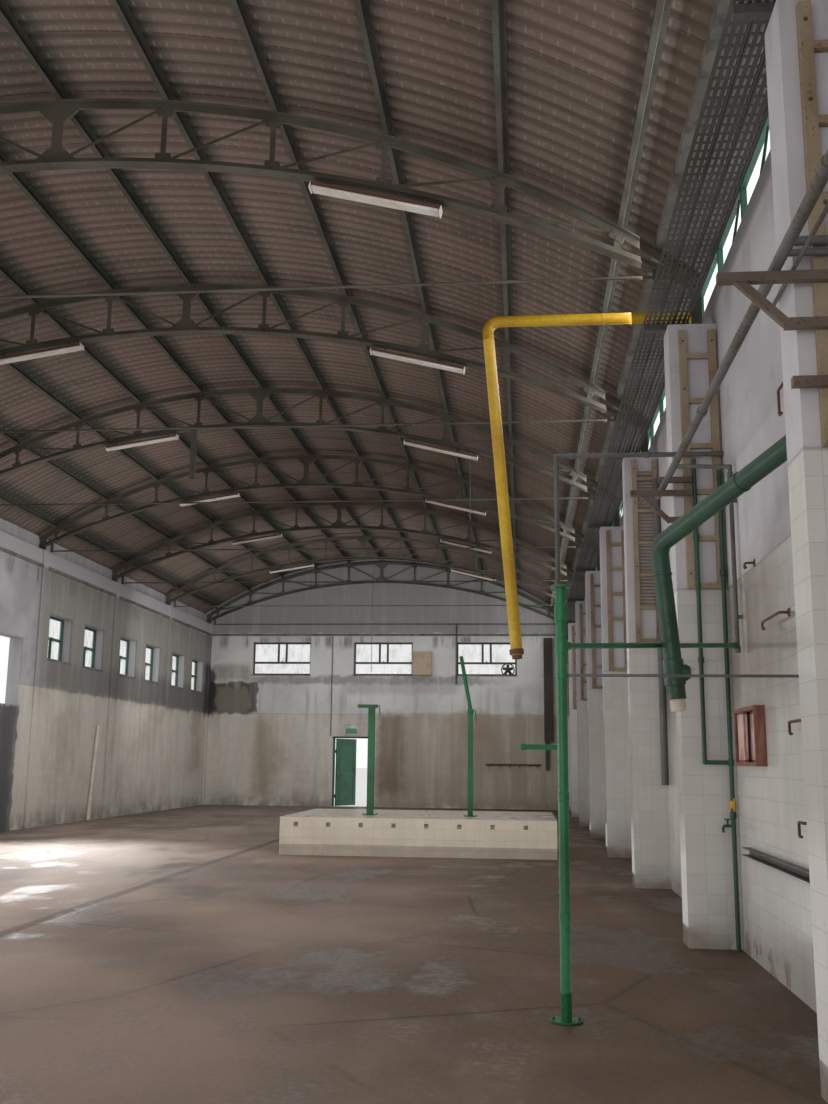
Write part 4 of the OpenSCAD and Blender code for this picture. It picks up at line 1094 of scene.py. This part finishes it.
class HALL_OT_window_parts(bpy.types.Operator):
    """Add beads, catches and sills to the windows, and the fan in the back gable"""

    bl_idname = "hall.window_parts"
    bl_label = "Window Parts"
    bl_options = {"REGISTER", "UNDO"}

    bar = 0.04
    bead = 0.012
    frame_face = 0.085
    # Width, height, height over the floor and the lower lights' share of the height
    left_size = (1.18, 0.935, 3.385, 0.47)
    left_places = (0.43, 2.31)
    gable_size = (1.85, 1.02, 3.98, 0.36)
    gable_narrow = 0.21
    gable_middle = -0.23
    gable_pitch = 3.2
    stay_shares = (0.26, 0.51, 0.76)

    def execute(self, context):
        parts = beads, catches, sills = bmesh.new(), bmesh.new(), bmesh.new()
        self.left_windows(parts)
        self.gable_windows(parts)
        self.clerestory(catches)
        add_piece("window_beads", beads, "frames")
        add_piece("window_catches", catches, "frames")
        add_piece("window_sills", sills, "concrete")
        self.fan()
        return {"FINISHED"}

    def on_wall(self, bm, face, along, depths, heights, edge):
        """A block by its spans along a wall, in from a face of the wall, and up."""
        axis, plane, way = face
        spans = [sorted(plane + way * depth for depth in depths), along, heights]
        if axis == "Y":
            spans[:2] = spans[1], spans[0]
        add_block(bm, *zip(*spans), edge)

    def spans(self, start, lengths):
        """Spans of lights in a row, with a bar before each."""
        made = []
        for length in lengths:
            made.append((start + self.bar, start + self.bar + length))
            start += self.bar + length
        return made

    def window(self, parts, faces, start, size, rows, catch):
        """One window: beads in its rows of lights, a catch, and the sills inside and outside."""
        beads, catches, sills = parts
        inner, inside, outside = faces
        width, height, base, share = size
        lower = height * share - self.bar
        base += FLOOR_Z
        levels = self.spans(base, (lower, height - lower - 3 * self.bar))
        for (z_low, z_high), lengths in zip(levels, rows):
            for low, high in self.spans(start, lengths):
                for (a_low, b_low), (a_high, b_high) in rim_bars((low, z_low), (high, z_high), self.bead):
                    self.on_wall(beads, inner, (a_low, a_high), (-0.016, -0.002), (b_low, b_high), 0.002)
        middle = start + width / 2
        z_low, z_high = base + catch[0], base + catch[1]
        self.on_wall(catches, inner, (middle - 0.012, middle + 0.012), (0.0, 0.02), (z_low, z_high), 0.003)
        along = (start - 0.04, start + width + 0.04)
        self.on_wall(sills, outside, along, (-0.03, 0.0), (base - 0.035, base + 0.012), 0.006)
        along = (start - 0.02, start + width + 0.02)
        self.on_wall(sills, inside, along, (0.0, 0.018), (base - 0.03, base + 0.004), 0.004)

    def left_windows(self, parts):
        width = self.left_size[0]
        half = (width - 3 * self.bar) / 2
        rows = ((half, half), (width - 2 * self.bar,))
        inner = self.frame_face - OUTSIDE_X
        faces = [("X", plane, 1) for plane in (inner, -INSIDE_X, -OUTSIDE_X)]
        base = FLOOR_Z + self.left_size[2]
        for k in range(sizes().bay_count):
            if k == OPEN_BAY:
                continue
            for place in self.left_places:
                y = truss_y(k) + place
                self.window(parts, faces, y, self.left_size, rows, (0.43, 0.5))
                middle = y + width / 2
                start, end = (inner + 0.012, middle, base + 0.44), (inner + 0.05, middle, base + 0.36)
                add_rod(parts[1], start, end, 0.006, 8)

    def gable_windows(self, parts):
        width, height, _, share = self.gable_size
        wide = (width - self.gable_narrow - 4 * self.bar) / 2
        rows = ((width - 2 * self.bar,), (wide, self.gable_narrow, wide))
        middle_bar = height * share + self.bar
        for side in (-1, 1):
            planes = (OUTSIDE_Y - self.frame_face, INSIDE_Y, OUTSIDE_Y)
            faces = [("Y", side * plane, -side) for plane in planes]
            for i in (-1, 0, 1):
                x = self.gable_middle + self.gable_pitch * i - width / 2
                catch = (middle_bar - 0.02, middle_bar + 0.05)
                self.window(parts, faces, x, self.gable_size, rows, catch)

    def clerestory(self, bm):
        """Stays that hold the clerestory lights, three pairs in each bay."""
        low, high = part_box("clerestory_frames")
        for k in range(sizes().bay_count):
            for share in self.stay_shares:
                y = truss_y(k) + share * sizes().bay_length
                for reach, aside in ((0.05, -0.02), (0.04, 0.13)):
                    foot = (low.x - reach, y + aside, low.z + 0.01)
                    add_rod(bm, (low.x + 0.004, y, high.z - 0.1), foot, 0.009, 8)

    def fan(self):
        """A ventilator with five blades in the third window's lower light."""
        bm = bmesh.new()
        centre = Vector((3.62, OUTSIDE_Y - 0.12, FLOOR_Z + 4.16))
        outer = 0.21
        sides = 32
        bmesh.ops.create_circle(bm, cap_ends=True, radius=outer, segments=sides)
        disc = [f for f in bm.faces if len(f.verts) == sides]
        bmesh.ops.inset_region(bm, faces=disc, thickness=0.034, use_boundary=True)
        bmesh.ops.delete(bm, geom=disc, context="FACES_ONLY")
        ring = bmesh.ops.extrude_face_region(bm, geom=bm.faces[:])["geom"]
        bmesh.ops.translate(bm, vec=(0, 0, 0.1), verts=of_kind(ring, BMVert))
        stand = Matrix.Translation(centre + Vector((0, 0.04, 0))) @ Matrix.Rotation(math.pi / 2, 4, "X")
        bmesh.ops.transform(bm, matrix=stand, verts=bm.verts[:])
        bmesh.ops.recalc_face_normals(bm, faces=bm.faces[:])
        add_collar(bm, centre - Vector((0, 0.02, 0)), (0, 1, 0), 0.05, 0.07, 16)
        for i in range(5):
            turn = (
                Matrix.Translation(centre - Vector((0, 0.01, 0)))
                @ Matrix.Rotation(math.radians(72 * i), 4, "Y")
                @ Matrix.Translation((0, 0, 0.11))
                @ Matrix.Rotation(math.radians(34), 4, "Z")
            )
            add_block(bm, (-0.052, -0.003, -0.07), (0.052, 0.003, 0.055), 0.002, turn)
        front = centre - Vector((0, 0.05, 0))
        for angle in (0.785, 2.356):
            aside = Vector((math.cos(angle), 0, math.sin(angle))) * (outer - 0.002)
            add_rod(bm, front - aside, front + aside, 0.005, 8)
        add_piece("gable_fan", bm, "duct")


class HALL_OT_door_parts(bpy.types.Operator):
    """Add the door's panels, kick plate and handle, and the bare sign above it"""

    bl_idname = "hall.door_parts"
    bl_label = "Door Parts"
    bl_options = {"REGISTER", "UNDO"}

    open_angle = math.radians(62)
    width = 1.004
    # Planes of the leaf's two faces, and the way out of each
    faces = ((-0.012, 1), (-0.052, -1))
    panel_heights = ((0.14, 0.92), (1.06, 1.96))
    panel_side = 0.13
    moulding = 0.028

    def execute(self, context):
        hinge = Vector(frame["joints"][0]["pos_m"])
        turn = Matrix.Translation(hinge) @ Matrix.Rotation(self.open_angle, 4, "Z")
        width = self.width
        panels = bmesh.new()
        handle = bmesh.new()
        for plane, side in self.faces:
            y_low, y_high = sorted((plane, plane + side * 0.007))
            for z_low, z_high in self.panel_heights:
                corners = (self.panel_side, z_low), (width - self.panel_side, z_high)
                for low, high in rim_bars(*corners, self.moulding):
                    add_block(panels, (low[0], y_low, low[1]), (high[0], y_high, high[1]), 0.003, turn)
            y_low, y_high = sorted((plane, plane + side * 0.006))
            add_block(handle, (width - 0.095, y_low, 0.93), (width - 0.055, y_high, 1.13), 0.0015, turn)
            spot = Vector((width - 0.075, plane, 1.06))
            out = spot + Vector((0, side * 0.045, 0))
            lever = [turn @ point for point in (spot, out, out + Vector((-0.11, 0, -0.01)))]
            add_pipe(handle, lever, 0.008, 0.012, 10, 4)
            add_rod(handle, turn @ spot, turn @ (spot + Vector((0, side * 0.012, 0))), 0.018, 16, 0.014)
        inner = self.faces[1][0]
        add_block(panels, (0.05, inner - 0.002, 0.02), (width - 0.03, inner, 0.11), 0.0008, turn)
        add_piece("door_panels", panels, "door", body="door")
        add_piece("door_handle", handle, "bolts", body="door")
        self.sign()
        return {"FINISHED"}

    def sign(self):
        """A bare plate in a shallow case."""
        low = Vector((-1.37, INSIDE_Y - 0.06, FLOOR_Z + 2.15))
        high = Vector((-0.965, INSIDE_Y, FLOOR_Z + 2.5))
        size = high - low
        rim = 0.03
        side = 0.025
        plate_top = 0.185
        case = bmesh.new()
        # Each bar by its start and end from the low corner
        for start, end, edge in (
            ((0, 0, 0), (size.x, size.y, rim), 0.004),
            ((0, 0, size.z - rim), size, 0.004),
            ((0, 0, rim), (side, size.y, size.z - rim), 0.004),
            ((size.x - side, 0, rim), (size.x, size.y, size.z - rim), 0.004),
            ((0.024, 0.02, plate_top + 0.005), (size.x - 0.024, size.y, size.z - 0.029), 0.003),
        ):
            add_block(case, low + Vector(start), low + Vector(end), edge)
        add_piece("sign_case", case, "sign")
        plate = bmesh.new()
        start, end = Vector((rim, 0.012, 0.035)), Vector((size.x - rim, size.y, plate_top))
        add_block(plate, low + start, low + end, 0.004)
        add_piece("sign_plate", plate, "sign_face")


class HALL_OT_lamps(bpy.types.Operator):
    """Hang the long lamps, each with a housing, a pale trough and end caps"""

    bl_idname = "hall.lamps"
    bl_label = "Lamps"
    bl_options = {"REGISTER", "UNDO"}

    places = (-2.005, 3.07)
    length = 1.24
    width = 0.16
    depth = 0.07
    drop = 0.06
    rod_share = 0.36
    wing_lean = 0.62

    def execute(self, context):
        shells, troughs, caps = bmesh.new(), bmesh.new(), bmesh.new()
        for k in range(1, sizes().bay_count):
            for place in self.places:
                turn = (
                    Matrix.Translation((ARCH_X, truss_y(k), TIE_Z))
                    @ Matrix.Rotation(math.asin(place / TIE_RADIUS), 4, "Y")
                    @ Matrix.Translation((0, 0, TIE_RADIUS - self.drop))
                )
                self.lamp(shells, troughs, caps, turn)
        add_piece("lamp_housings", shells, "rust", ("lamps",))
        add_piece("lamp_troughs", troughs, "lamp")
        add_piece("lamp_caps", caps, "tube")
        return {"FINISHED"}

    def lamp(self, shells, troughs, caps, turn):
        half = self.length / 2
        edge = self.width / 2
        rod_x = self.length * self.rod_share
        rod_top = math.sqrt(TIE_RADIUS**2 - rod_x**2) - TIE_RADIUS + self.drop - 0.002
        add_block(shells, (-half + 0.01, -edge * 0.55, -0.034), (half - 0.01, edge * 0.55, 0.0), 0.006, turn)
        for side in (-1, 1):
            lean = Matrix.Rotation(-side * self.wing_lean, 4, "X")
            lean = turn @ Matrix.Translation((0, side * edge * 0.74, -0.032)) @ lean
            add_block(shells, (-half + 0.012, -0.0022, -0.028), (half - 0.012, 0.0022, 0.026), 0.001, lean)
            foot, top = Vector((side * rod_x, 0, -0.002)), Vector((side * rod_x, 0, rod_top))
            add_rod(shells, turn @ foot, turn @ top, 0.01, 12)
            end = turn @ Matrix.Translation((side * (half - 0.008), 0, 0))
            add_block(caps, (-0.008, -edge * 0.82, -self.depth), (0.008, edge * 0.82, -0.004), 0.005, end)
        low = (-half + 0.016, -edge * 0.86, -self.depth + 0.006)
        add_block(troughs, low, (half - 0.016, edge * 0.86, -0.0335), 0.018, turn)


class HALL_OT_yellow_pipe(bpy.types.Operator):
    """Run the yellow pipe out between the planks and the slab and down to its open end"""

    bl_idname = "hall.yellow_pipe"
    bl_label = "Yellow Pipe"
    bl_options = {"REGISTER", "UNDO"}

    radius = 0.054
    below_slab = 0.23

    def execute(self, context):
        slab_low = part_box("eave_slab")[0].z
        corner = Vector((INSIDE_X - 1.968, truss_y(3) + 1.0, slab_low - self.below_slab))
        start = Vector((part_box("yellow_pipe")[1].x, corner.y, corner.z))
        end = corner + Vector((0.268, 0, -3.24))
        way = (end - corner).normalized()
        bm = bmesh.new()
        add_pipe(bm, [start, corner, end], self.radius, 0.11, 32, 10)
        for spot, along in (
            (corner.lerp(end, 0.36), way),
            (corner.lerp(end, 0.71), way),
            (start.lerp(corner, 0.45), ACROSS),
        ):
            add_collar(bm, spot, along, self.radius + 0.003, 0.014, 32, 0.003)
        add_piece("yellow_pipe_run", bm, "yellow", ("yellow_pipe",))
        socket = bmesh.new()
        add_collar(socket, end - way * 0.03, way, self.radius + 0.012, 0.05, 32)
        add_pipe(socket, [end - way * 0.01, end + way * 0.035], self.radius * 0.86, 0.0, 24, 1, 0.008)
        add_piece("yellow_pipe_socket", socket, "rust")
        return {"FINISHED"}


class HALL_OT_green_pipes(bpy.types.Operator):
    """Stand the green pole with its branch and the bent standpipe, and run the large drop pipe"""

    bl_idname = "hall.green_pipes"
    bl_label = "Green Pipes"
    bl_options = {"REGISTER", "UNDO"}

    pole_radius = 0.03
    pole_height = 2.4
    brace_height = 1.88
    branch_height = 2.05
    branch_radius = 0.017
    # Height on the pole, how far it stands out and length of each collar
    pole_collars = (
        (0.55, 0.004, 0.05),
        (1.2, 0.004, 0.05),
        (brace_height, 0.005, 0.04),
        (branch_height, 0.006, 0.09),
        (2.24, 0.008, 0.1),
    )
    bent_height = 1.55
    bent_reach = 0.43
    drop_radius = 0.06

    def execute(self, context):
        self.poles()
        self.drop_pipe()
        return {"FINISHED"}

    def poles(self):
        radius = self.pole_radius
        foot = in_hall(-1.43, truss_y(3) - 2.75, 0.0)
        top = foot + UP * self.pole_height
        bm = bmesh.new()
        add_pipe(bm, [foot, top], radius, 0.0, 24, 1)
        add_flange(bm, foot, UP, 0.09, 0.012)
        add_flange(bm, top - UP * 0.012, UP, 0.058, 0.014)
        for height, wider, length in self.pole_collars:
            add_collar(bm, foot + UP * height, UP, radius + wider, length, 24)
        branch = foot + UP * self.branch_height
        grey = in_hall(-0.045, truss_y(3) - 0.705, 2.265)
        way = (grey - branch).normalized()
        add_pipe(bm, [branch, grey - way * 0.02], self.branch_radius, 0.0, 16, 1)
        add_collar(bm, branch + way * 0.05, way, self.branch_radius + 0.008, 0.07, 20)
        add_collar(bm, grey - way * 0.05, way, self.branch_radius + 0.007, 0.06, 20)
        bent_foot = in_hall(-1.245, truss_y(4) - 0.93, 0.0)
        bent_top = bent_foot + UP * self.bent_height
        tip = bent_top - ACROSS * self.bent_reach
        add_pipe(bm, [bent_foot, bent_top, tip], radius, 0.07, 24, 8, 0.005)
        add_flange(bm, bent_foot, UP, 0.08, 0.01)
        add_collar(bm, tip + ACROSS * 0.03, ACROSS, radius + 0.008, 0.05, 24)
        add_collar(bm, bent_top - UP * 0.12, UP, radius + 0.006, 0.06, 24)
        add_piece("green_standpipe_run", bm, "green", ("green_standpipes",))
        bar = bmesh.new()
        brace = foot + UP * self.brace_height
        wall_end = Vector((INSIDE_X, brace.y, brace.z))
        add_pipe(bar, [brace + ACROSS * radius, wall_end], 0.0085, 0.0, 12, 1)
        add_collar(bar, wall_end - ACROSS * 0.004, ACROSS, 0.03, 0.008, 16, 0.002)
        add_piece("pole_brace", bar, "grey")

    def drop_pipe(self):
        radius = self.drop_radius
        corner = in_hall(-0.737, truss_y(3) - 1.78, 2.825)
        beyond = in_hall(0.089, truss_y(3) - 3.4, 3.299)
        start = corner.lerp(beyond, (INSIDE_X - 0.002 - corner.x) / (beyond.x - corner.x))
        way = (corner - start).normalized()
        end = corner + Vector((0.088, 0, -1.025))
        down = (end - corner).normalized()
        outlet = corner + Vector((0.072, 0, -0.85))
        tip = corner + Vector((0.215, 0, -0.85))
        bm = bmesh.new()
        add_pipe(bm, [start + way * 0.06, corner, end], radius, 0.1, 32, 10)
        add_collar(bm, start + way * 0.2, way, radius + 0.016, 0.09, 32)
        add_collar(bm, start + way * 0.75, way, radius + 0.006, 0.016, 32, 0.003)
        add_collar(bm, corner + down * 0.2, down, radius + 0.006, 0.016, 32, 0.003)
        add_collar(bm, outlet, down, radius + 0.01, 0.17, 32)
        add_pipe(bm, [outlet, tip - ACROSS * 0.04], 0.044, 0.0, 24, 1)
        add_collar(bm, tip - ACROSS * 0.08, ACROSS, 0.054, 0.05, 24)
        add_piece("green_drop_run", bm, "dark_green", ("green_drop_pipe",))
        ends = bmesh.new()
        add_pipe(ends, [end - down * 0.01, end + down * 0.075], radius * 0.8, 0.0, 28, 1, 0.007)
        for i in range(4):
            add_collar(ends, end + down * (0.012 + i * 0.018), down, radius * 0.86, 0.009, 28, 0.003)
        add_pipe(ends, [tip - ACROSS * 0.05, tip], 0.028, 0.0, 20, 1, 0.006)
        add_collar(ends, tip - ACROSS * 0.025, ACROSS, 0.036, 0.012, 20, 0.003)
        add_piece("green_drop_ends", ends, "thread")


class HALL_OT_pipe_fittings(bpy.types.Operator):
    """Add couplings to the grey and dark green pipes, a tap and a valve"""

    bl_idname = "hall.pipe_fittings"
    bl_label = "Pipe Fittings"
    bl_options = {"REGISTER", "UNDO"}

    # Place from the right wall and height of each coupling on the fourth pier
    pier_collars = ((-0.04, 1.0), (-0.04, 1.4), (-0.04, 2.9), (-0.24, 2.2), (-0.24, 3.2))

    def execute(self, context):
        grey = bmesh.new()
        long_x = PIER_X - 0.095 - INSIDE_X
        long_z = 3.6123
        high_y = truss_y(3) - 0.227
        drop_y = truss_y(3) - 0.705
        # Place, way, radius, length and sides of each coupling
        for place, way, radius, length, sides in (
            ((long_x, truss_y(1) + 1.2, long_z), (0, 1, 0), 0.034, 0.07, 20),
            ((long_x, truss_y(2) - 1.1, long_z), (0, 1, 0), 0.034, 0.07, 20),
            ((long_x, truss_y(2) + 1.9, long_z), (0, 1, 0), 0.034, 0.07, 20),
            ((-1.24, high_y, 3.888), ACROSS, 0.026, 0.05, 16),
            ((-0.62, high_y, 3.888), ACROSS, 0.026, 0.05, 16),
            ((-1.36, high_y, 3.788), UP, 0.026, 0.05, 16),
            ((-0.045, drop_y, 2.235), UP, 0.024, 0.05, 16),
            ((-0.045, drop_y, 3.575), UP, 0.024, 0.06, 16),
            ((2.05 - INSIDE_X, truss_y(9), 3.73), UP, 0.032, 0.05, 16),
        ):
            add_collar(grey, in_hall(*place), way, radius, length, sides)
        add_piece("grey_pipe_couplings", grey, "grey")
        green = bmesh.new()
        pier_y = truss_y(3) - RACK_REACH - 0.0173
        for x, z in self.pier_collars:
            add_collar(green, in_hall(x, pier_y, z), UP, 0.024, 0.05, 16)
        tap = in_hall(-0.04, pier_y, 0.92)
        nose = tap - ACROSS * 0.08
        add_pipe(green, [tap, nose, nose - UP * 0.05], 0.011, 0.02, 12, 4)
        stem = tap - ACROSS * 0.045
        add_rod(green, stem, stem + UP * 0.045, 0.008, 10)
        add_block(green, stem + Vector((-0.025, -0.006, 0.045)), stem + Vector((0.025, 0.006, 0.055)), 0.002)
        add_piece("green_pipe_couplings", green, "dark_green")
        valve = bmesh.new()
        body = in_hall(-0.04, pier_y, 1.08)
        add_collar(valve, body, UP, 0.026, 0.06, 16)
        add_rod(valve, body, body - Vector((0, 0.05, 0)), 0.007, 10)
        add_block(valve, body - Vector((0.006, 0.056, 0.05)), body + Vector((0.006, -0.05, 0.05)), 0.002)
        add_piece("pier_pipe_valve", valve, "yellow")
        return {"FINISHED"}


class HALL_OT_platform(bpy.types.Operator):
    """Build the tiled platform with its small holes, and dress its posts"""

    bl_idname = "hall.platform"
    bl_label = "Platform"
    bl_options = {"REGISTER", "UNDO"}

    cell = 0.07
    rows = 8
    hole_margin = 0.006
    hole_depth = 0.09
    # Place across the hall and half width of each post's plate
    plates = ((1.66, 0.1), (3.23, 0.09))

    def front(self, bm):
        """The faces of the front side."""
        return [f for f in bm.faces if f.normal.y < -0.9]

    def execute(self, context):
        low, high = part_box("tiled_platform")
        across = round((high.x - low.x) / self.cell)
        bm = bmesh.new()
        add_block(bm, low, high)
        level = [e for e in self.front(bm)[0].edges if abs(e.verts[0].co.x - e.verts[1].co.x) > 1]
        bmesh.ops.subdivide_edges(bm, edges=level, cuts=across - 1)
        bmesh.ops.connect_verts(bm, verts=list({v for f in self.front(bm) for v in f.verts}))
        edges = {e for f in self.front(bm) for e in f.edges}
        uprights = [e for e in edges if abs(e.verts[0].co.z - e.verts[1].co.z) > 0.1]
        bmesh.ops.subdivide_edges(bm, edges=uprights, cuts=self.rows - 1, use_grid_fill=True)
        step = max(1, round(sizes().platform_hole_pitch / self.cell))
        holes = []
        for face in self.front(bm):
            centre = face.calc_center_median()
            column = int((centre.x - low.x) / ((high.x - low.x) / across))
            row = int((centre.z - low.z) / ((high.z - low.z) / self.rows))
            if len(face.verts) == 4 and row == self.rows - 2 and column % step == step // 2:
                holes.append(face)
        bmesh.ops.inset_individual(bm, faces=holes, thickness=self.hole_margin)
        for face in holes:
            push_face(bm, face, (0, self.hole_depth, 0))
        add_piece("tiled_platform_body", bm, "platform", ("tiled_platform",), sharp=30.0)
        self.posts(truss_y(5) + 0.19, high.z)
        return {"FINISHED"}

    def posts(self, y, top):
        """Foot plates, a collar and two hooks on the platform's posts."""
        parts = bmesh.new()
        for x, half in self.plates:
            add_block(parts, (x - half, y - half, top), (x + half, y + half, top + 0.012), 0.003)
            add_bolts(parts, (x, y, top + 0.012), UP, half * 1.1, 4, 0.02)
        add_collar(parts, (3.23, y - 0.01, top + 1.6), UP, 0.052, 0.05, 20)
        for line in (
            [(1.745, 1.7), (1.78, 1.7), (1.79, 1.55)],
            [(3.27, 1.63), (3.31, 1.63), (3.32, 1.46)],
        ):
            add_pipe(parts, [(x, y, top + z) for x, z in line], 0.007, 0.015, 8, 3)
        add_piece("platform_post_plates", parts, "green")


class HALL_OT_wall_fittings(bpy.types.Operator):
    """Add the battens of the wall box and the peg rail of the back wall"""

    bl_idname = "hall.wall_fittings"
    bl_label = "Wall Fittings"
    bl_options = {"REGISTER", "UNDO"}

    batten_pitch = 0.122
    rail_height = 1.5
    rail_ends = (2.95, 4.6)
    pegs = (3.05, 3.35, 3.65, 3.95, 4.25, 4.5)

    def execute(self, context):
        low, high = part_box("wall_box")
        battens = bmesh.new()
        for i in range(5):
            x = low.x + 0.05 + i * self.batten_pitch
            add_block(battens, (x, low.y - 0.012, low.z + 0.03), (x + 0.03, low.y, high.z - 0.03), 0.003)
        for z in (low.z + 0.02, high.z - 0.06):
            add_block(battens, (low.x + 0.01, low.y - 0.02, z), (high.x - 0.01, low.y, z + 0.04), 0.003)
        add_piece("wall_box_battens", battens, "box")
        rail = bmesh.new()
        z = self.rail_height
        start, end = self.rail_ends
        add_block(rail, (start, INSIDE_Y - 0.03, z - 0.03), (end, INSIDE_Y, z + 0.03), 0.004)
        for x in self.pegs:
            foot = Vector((x, INSIDE_Y - 0.028, z))
            bend = foot + Vector((0, -0.08, -0.02))
            add_pipe(rail, [foot, bend, bend - UP * 0.09], 0.01, 0.02, 8, 4)
        add_piece("peg_rail", rail, "rust")
        return {"FINISHED"}


class HALL_OT_stage(bpy.types.Operator):
    """Set the floor around the hall, the lamps, the sky and the camera"""

    bl_idname = "hall.stage"
    bl_label = "Stage"
    bl_options = {"REGISTER", "UNDO"}

    ground_half = 220.0
    ground_drop = 0.003
    sky_light = 0.72
    # Name, centre, aim, sides, level and spread of each soft lamp
    soft_lamps = (
        ("light_down", (-0.3, 0.0, 5.6), (0, 0, -1), (9.5, 36.0), 0.5, math.pi),
        ("light_up", (1.6, -5.0, 0.35), (0, 0, 1), (7.4, 27.0), 0.42, math.pi),
        ("light_clerestory", (5.1, 0.0, 5.95), (-1, 0, -0.05), (36.0, 0.5), 4.4, math.pi),
        ("light_front", (0.0, -18.3, 3.0), (0, 1, 0.1), (9.0, 4.0), 2.0, math.pi),
        ("light_left_wall", (-0.8, 3.5, 3.6), (-1, 0, 0), (8.0, 2.0), 1.9, math.pi),
        ("light_right_wall", (-2.0, -6.0, 1.7), (1, 0, 0), (10.0, 2.2), 1.9, math.pi),
        ("light_gable", (-0.8, 10.9, 4.2), (0, 1, -0.12), (7.6, 1.4), 4.6, math.pi),
        ("light_opening", (-5.3, 4.13, 3.1), (2.5, -3.1, -3.0), (2.4, 1.2), 9.0, 0.9),
    )
    sun_from = (0.5, -0.65, 1.1)
    sun_energy = 0.9
    sun_angle = 0.2
    picture_height = 1104
    focal_length = 1108
    sensor = 36.0
    eye = (4.035, -15.395, 1.5875)
    turn = 0.0976
    tilt = 0.1863
    roll = 0.01074

    def execute(self, context):
        self.ground()
        self.world()
        for lamp in self.soft_lamps:
            self.area(*lamp)
        self.sun()
        self.camera()
        return {"FINISHED"}

    def link(self, name, data):
        """An object with this data, in the scene."""
        made = bpy.data.objects.new(name, data)
        bpy.context.scene.collection.objects.link(made)
        return made

    def ground(self):
        """A plain pale floor under and around the hall."""
        bm = bmesh.new()
        bmesh.ops.create_grid(bm, x_segments=1, y_segments=1, size=self.ground_half)
        bmesh.ops.translate(bm, vec=(0, 0, -self.ground_drop), verts=bm.verts)
        mesh = bpy.data.meshes.new("ground")
        bm.to_mesh(mesh)
        bm.free()
        pale = Finish("ground_finish")
        cloud = pale.noise(0.2, 3.0)
        mesh.materials.append(pale.finish(cloud.mix((224, 223, 221), (232, 231, 229)), 0.9))
        self.link("ground", mesh)

    def world(self):
        """A pale sky: white where it is seen, plain where it lights."""
        sky = bpy.data.worlds.new("sky")
        sky.use_nodes = True
        nodes = sky.node_tree.nodes
        links = sky.node_tree.links
        back = nodes["Background"]
        back.inputs["Color"].default_value = (1.0, 1.0, 1.0, 1.0)
        path = nodes.new("ShaderNodeLightPath")
        seen = path.outputs["Is Camera Ray"]
        for name in ("Is Glossy Ray", "Is Transmission Ray"):
            both = nodes.new("ShaderNodeMath")
            both.operation = "MAXIMUM"
            links.new(seen, both.inputs[0])
            links.new(path.outputs[name], both.inputs[1])
            seen = both.outputs[0]
        level = nodes.new("ShaderNodeMapRange")
        links.new(seen, level.inputs[0])
        level.inputs[3].default_value = self.sky_light
        level.inputs[4].default_value = 1.0
        links.new(level.outputs[0], back.inputs["Strength"])
        bpy.context.scene.world = sky

    def area(self, name, centre, aim, sides, level, spread):
        """A soft lamp that lights at a plain level and isn't seen itself."""
        data = bpy.data.lights.new(name, "AREA")
        data.shape = "RECTANGLE"
        data.size, data.size_y = sides
        data.energy = level * math.pi * sides[0] * sides[1]
        data.spread = spread
        lamp = self.link(name, data)
        lamp.visible_camera = False
        lamp.matrix_world = turned_to(Vector(centre), -Vector(aim).normalized())

    def sun(self):
        """A weak sun from behind, on the right."""
        data = bpy.data.lights.new("sun", "SUN")
        data.energy = self.sun_energy
        data.angle = self.sun_angle
        self.link("sun", data).matrix_world = turned_to(Vector(), Vector(self.sun_from))

    def camera(self):
        """The photograph's eye, low by the right wall."""
        data = bpy.data.cameras.new("camera")
        data.sensor_fit = "VERTICAL"
        data.sensor_height = self.sensor
        data.lens = self.sensor * self.focal_length / self.picture_height
        data.clip_start = 0.05
        data.clip_end = 600.0
        camera = self.link("camera", data)
        camera.matrix_world = (
            Matrix.Translation(self.eye)
            @ Matrix.Rotation(self.turn, 4, "Z")
            @ Matrix.Rotation(math.pi / 2 + self.tilt, 4, "X")
            @ Matrix.Rotation(self.roll, 4, "Z")
        )
        bpy.context.scene.camera = camera
        bpy.context.scene.view_settings.view_transform = "Standard"


PIECES = (
    HALL_OT_finishes,
    HALL_OT_roof_sheets,
    HALL_OT_roof_fixings,
    HALL_OT_truss_plates,
    HALL_OT_slotted_planks,
    HALL_OT_rack_parts,
    HALL_OT_window_parts,
    HALL_OT_door_parts,
    HALL_OT_lamps,
    HALL_OT_yellow_pipe,
    HALL_OT_green_pipes,
    HALL_OT_pipe_fittings,
    HALL_OT_platform,
    HALL_OT_wall_fittings,
    HALL_OT_stage,
)


class HALL_PT_panel(bpy.types.Panel):
    """The hall's pieces, sizes and colours"""

    bl_idname = "HALL_PT_panel"
    bl_label = "Factory Hall"
    bl_space_type = "VIEW_3D"
    bl_region_type = "UI"
    bl_category = "Hall"

    def draw(self, context):
        for piece in PIECES:
            self.layout.operator(piece.bl_idname)
        for group in (context.scene.hall_sizes, context.scene.hall_colours):
            box = self.layout.box()
            for name in group.bl_rna.properties.keys():
                if name not in ("rna_type", "name"):
                    box.prop(group, name)


CLASSES = (HallSizes, HallColours) + PIECES + (HALL_PT_panel,)


def register():
    """Makes the hall's classes known to Blender."""
    for cls in CLASSES:
        bpy.utils.register_class(cls)
    bpy.types.Scene.hall_sizes = PointerProperty(type=HallSizes)
    bpy.types.Scene.hall_colours = PointerProperty(type=HallColours)


def unregister():
    """Takes the hall's classes out again."""
    del bpy.types.Scene.hall_colours
    del bpy.types.Scene.hall_sizes
    for cls in reversed(CLASSES):
        bpy.utils.unregister_class(cls)


def main():
    """Builds every piece in order."""
    register()
    for piece in PIECES:
        group, name = piece.bl_idname.split(".")
        getattr(getattr(bpy.ops, group), name)()


if __name__ == "__main__":
    main()
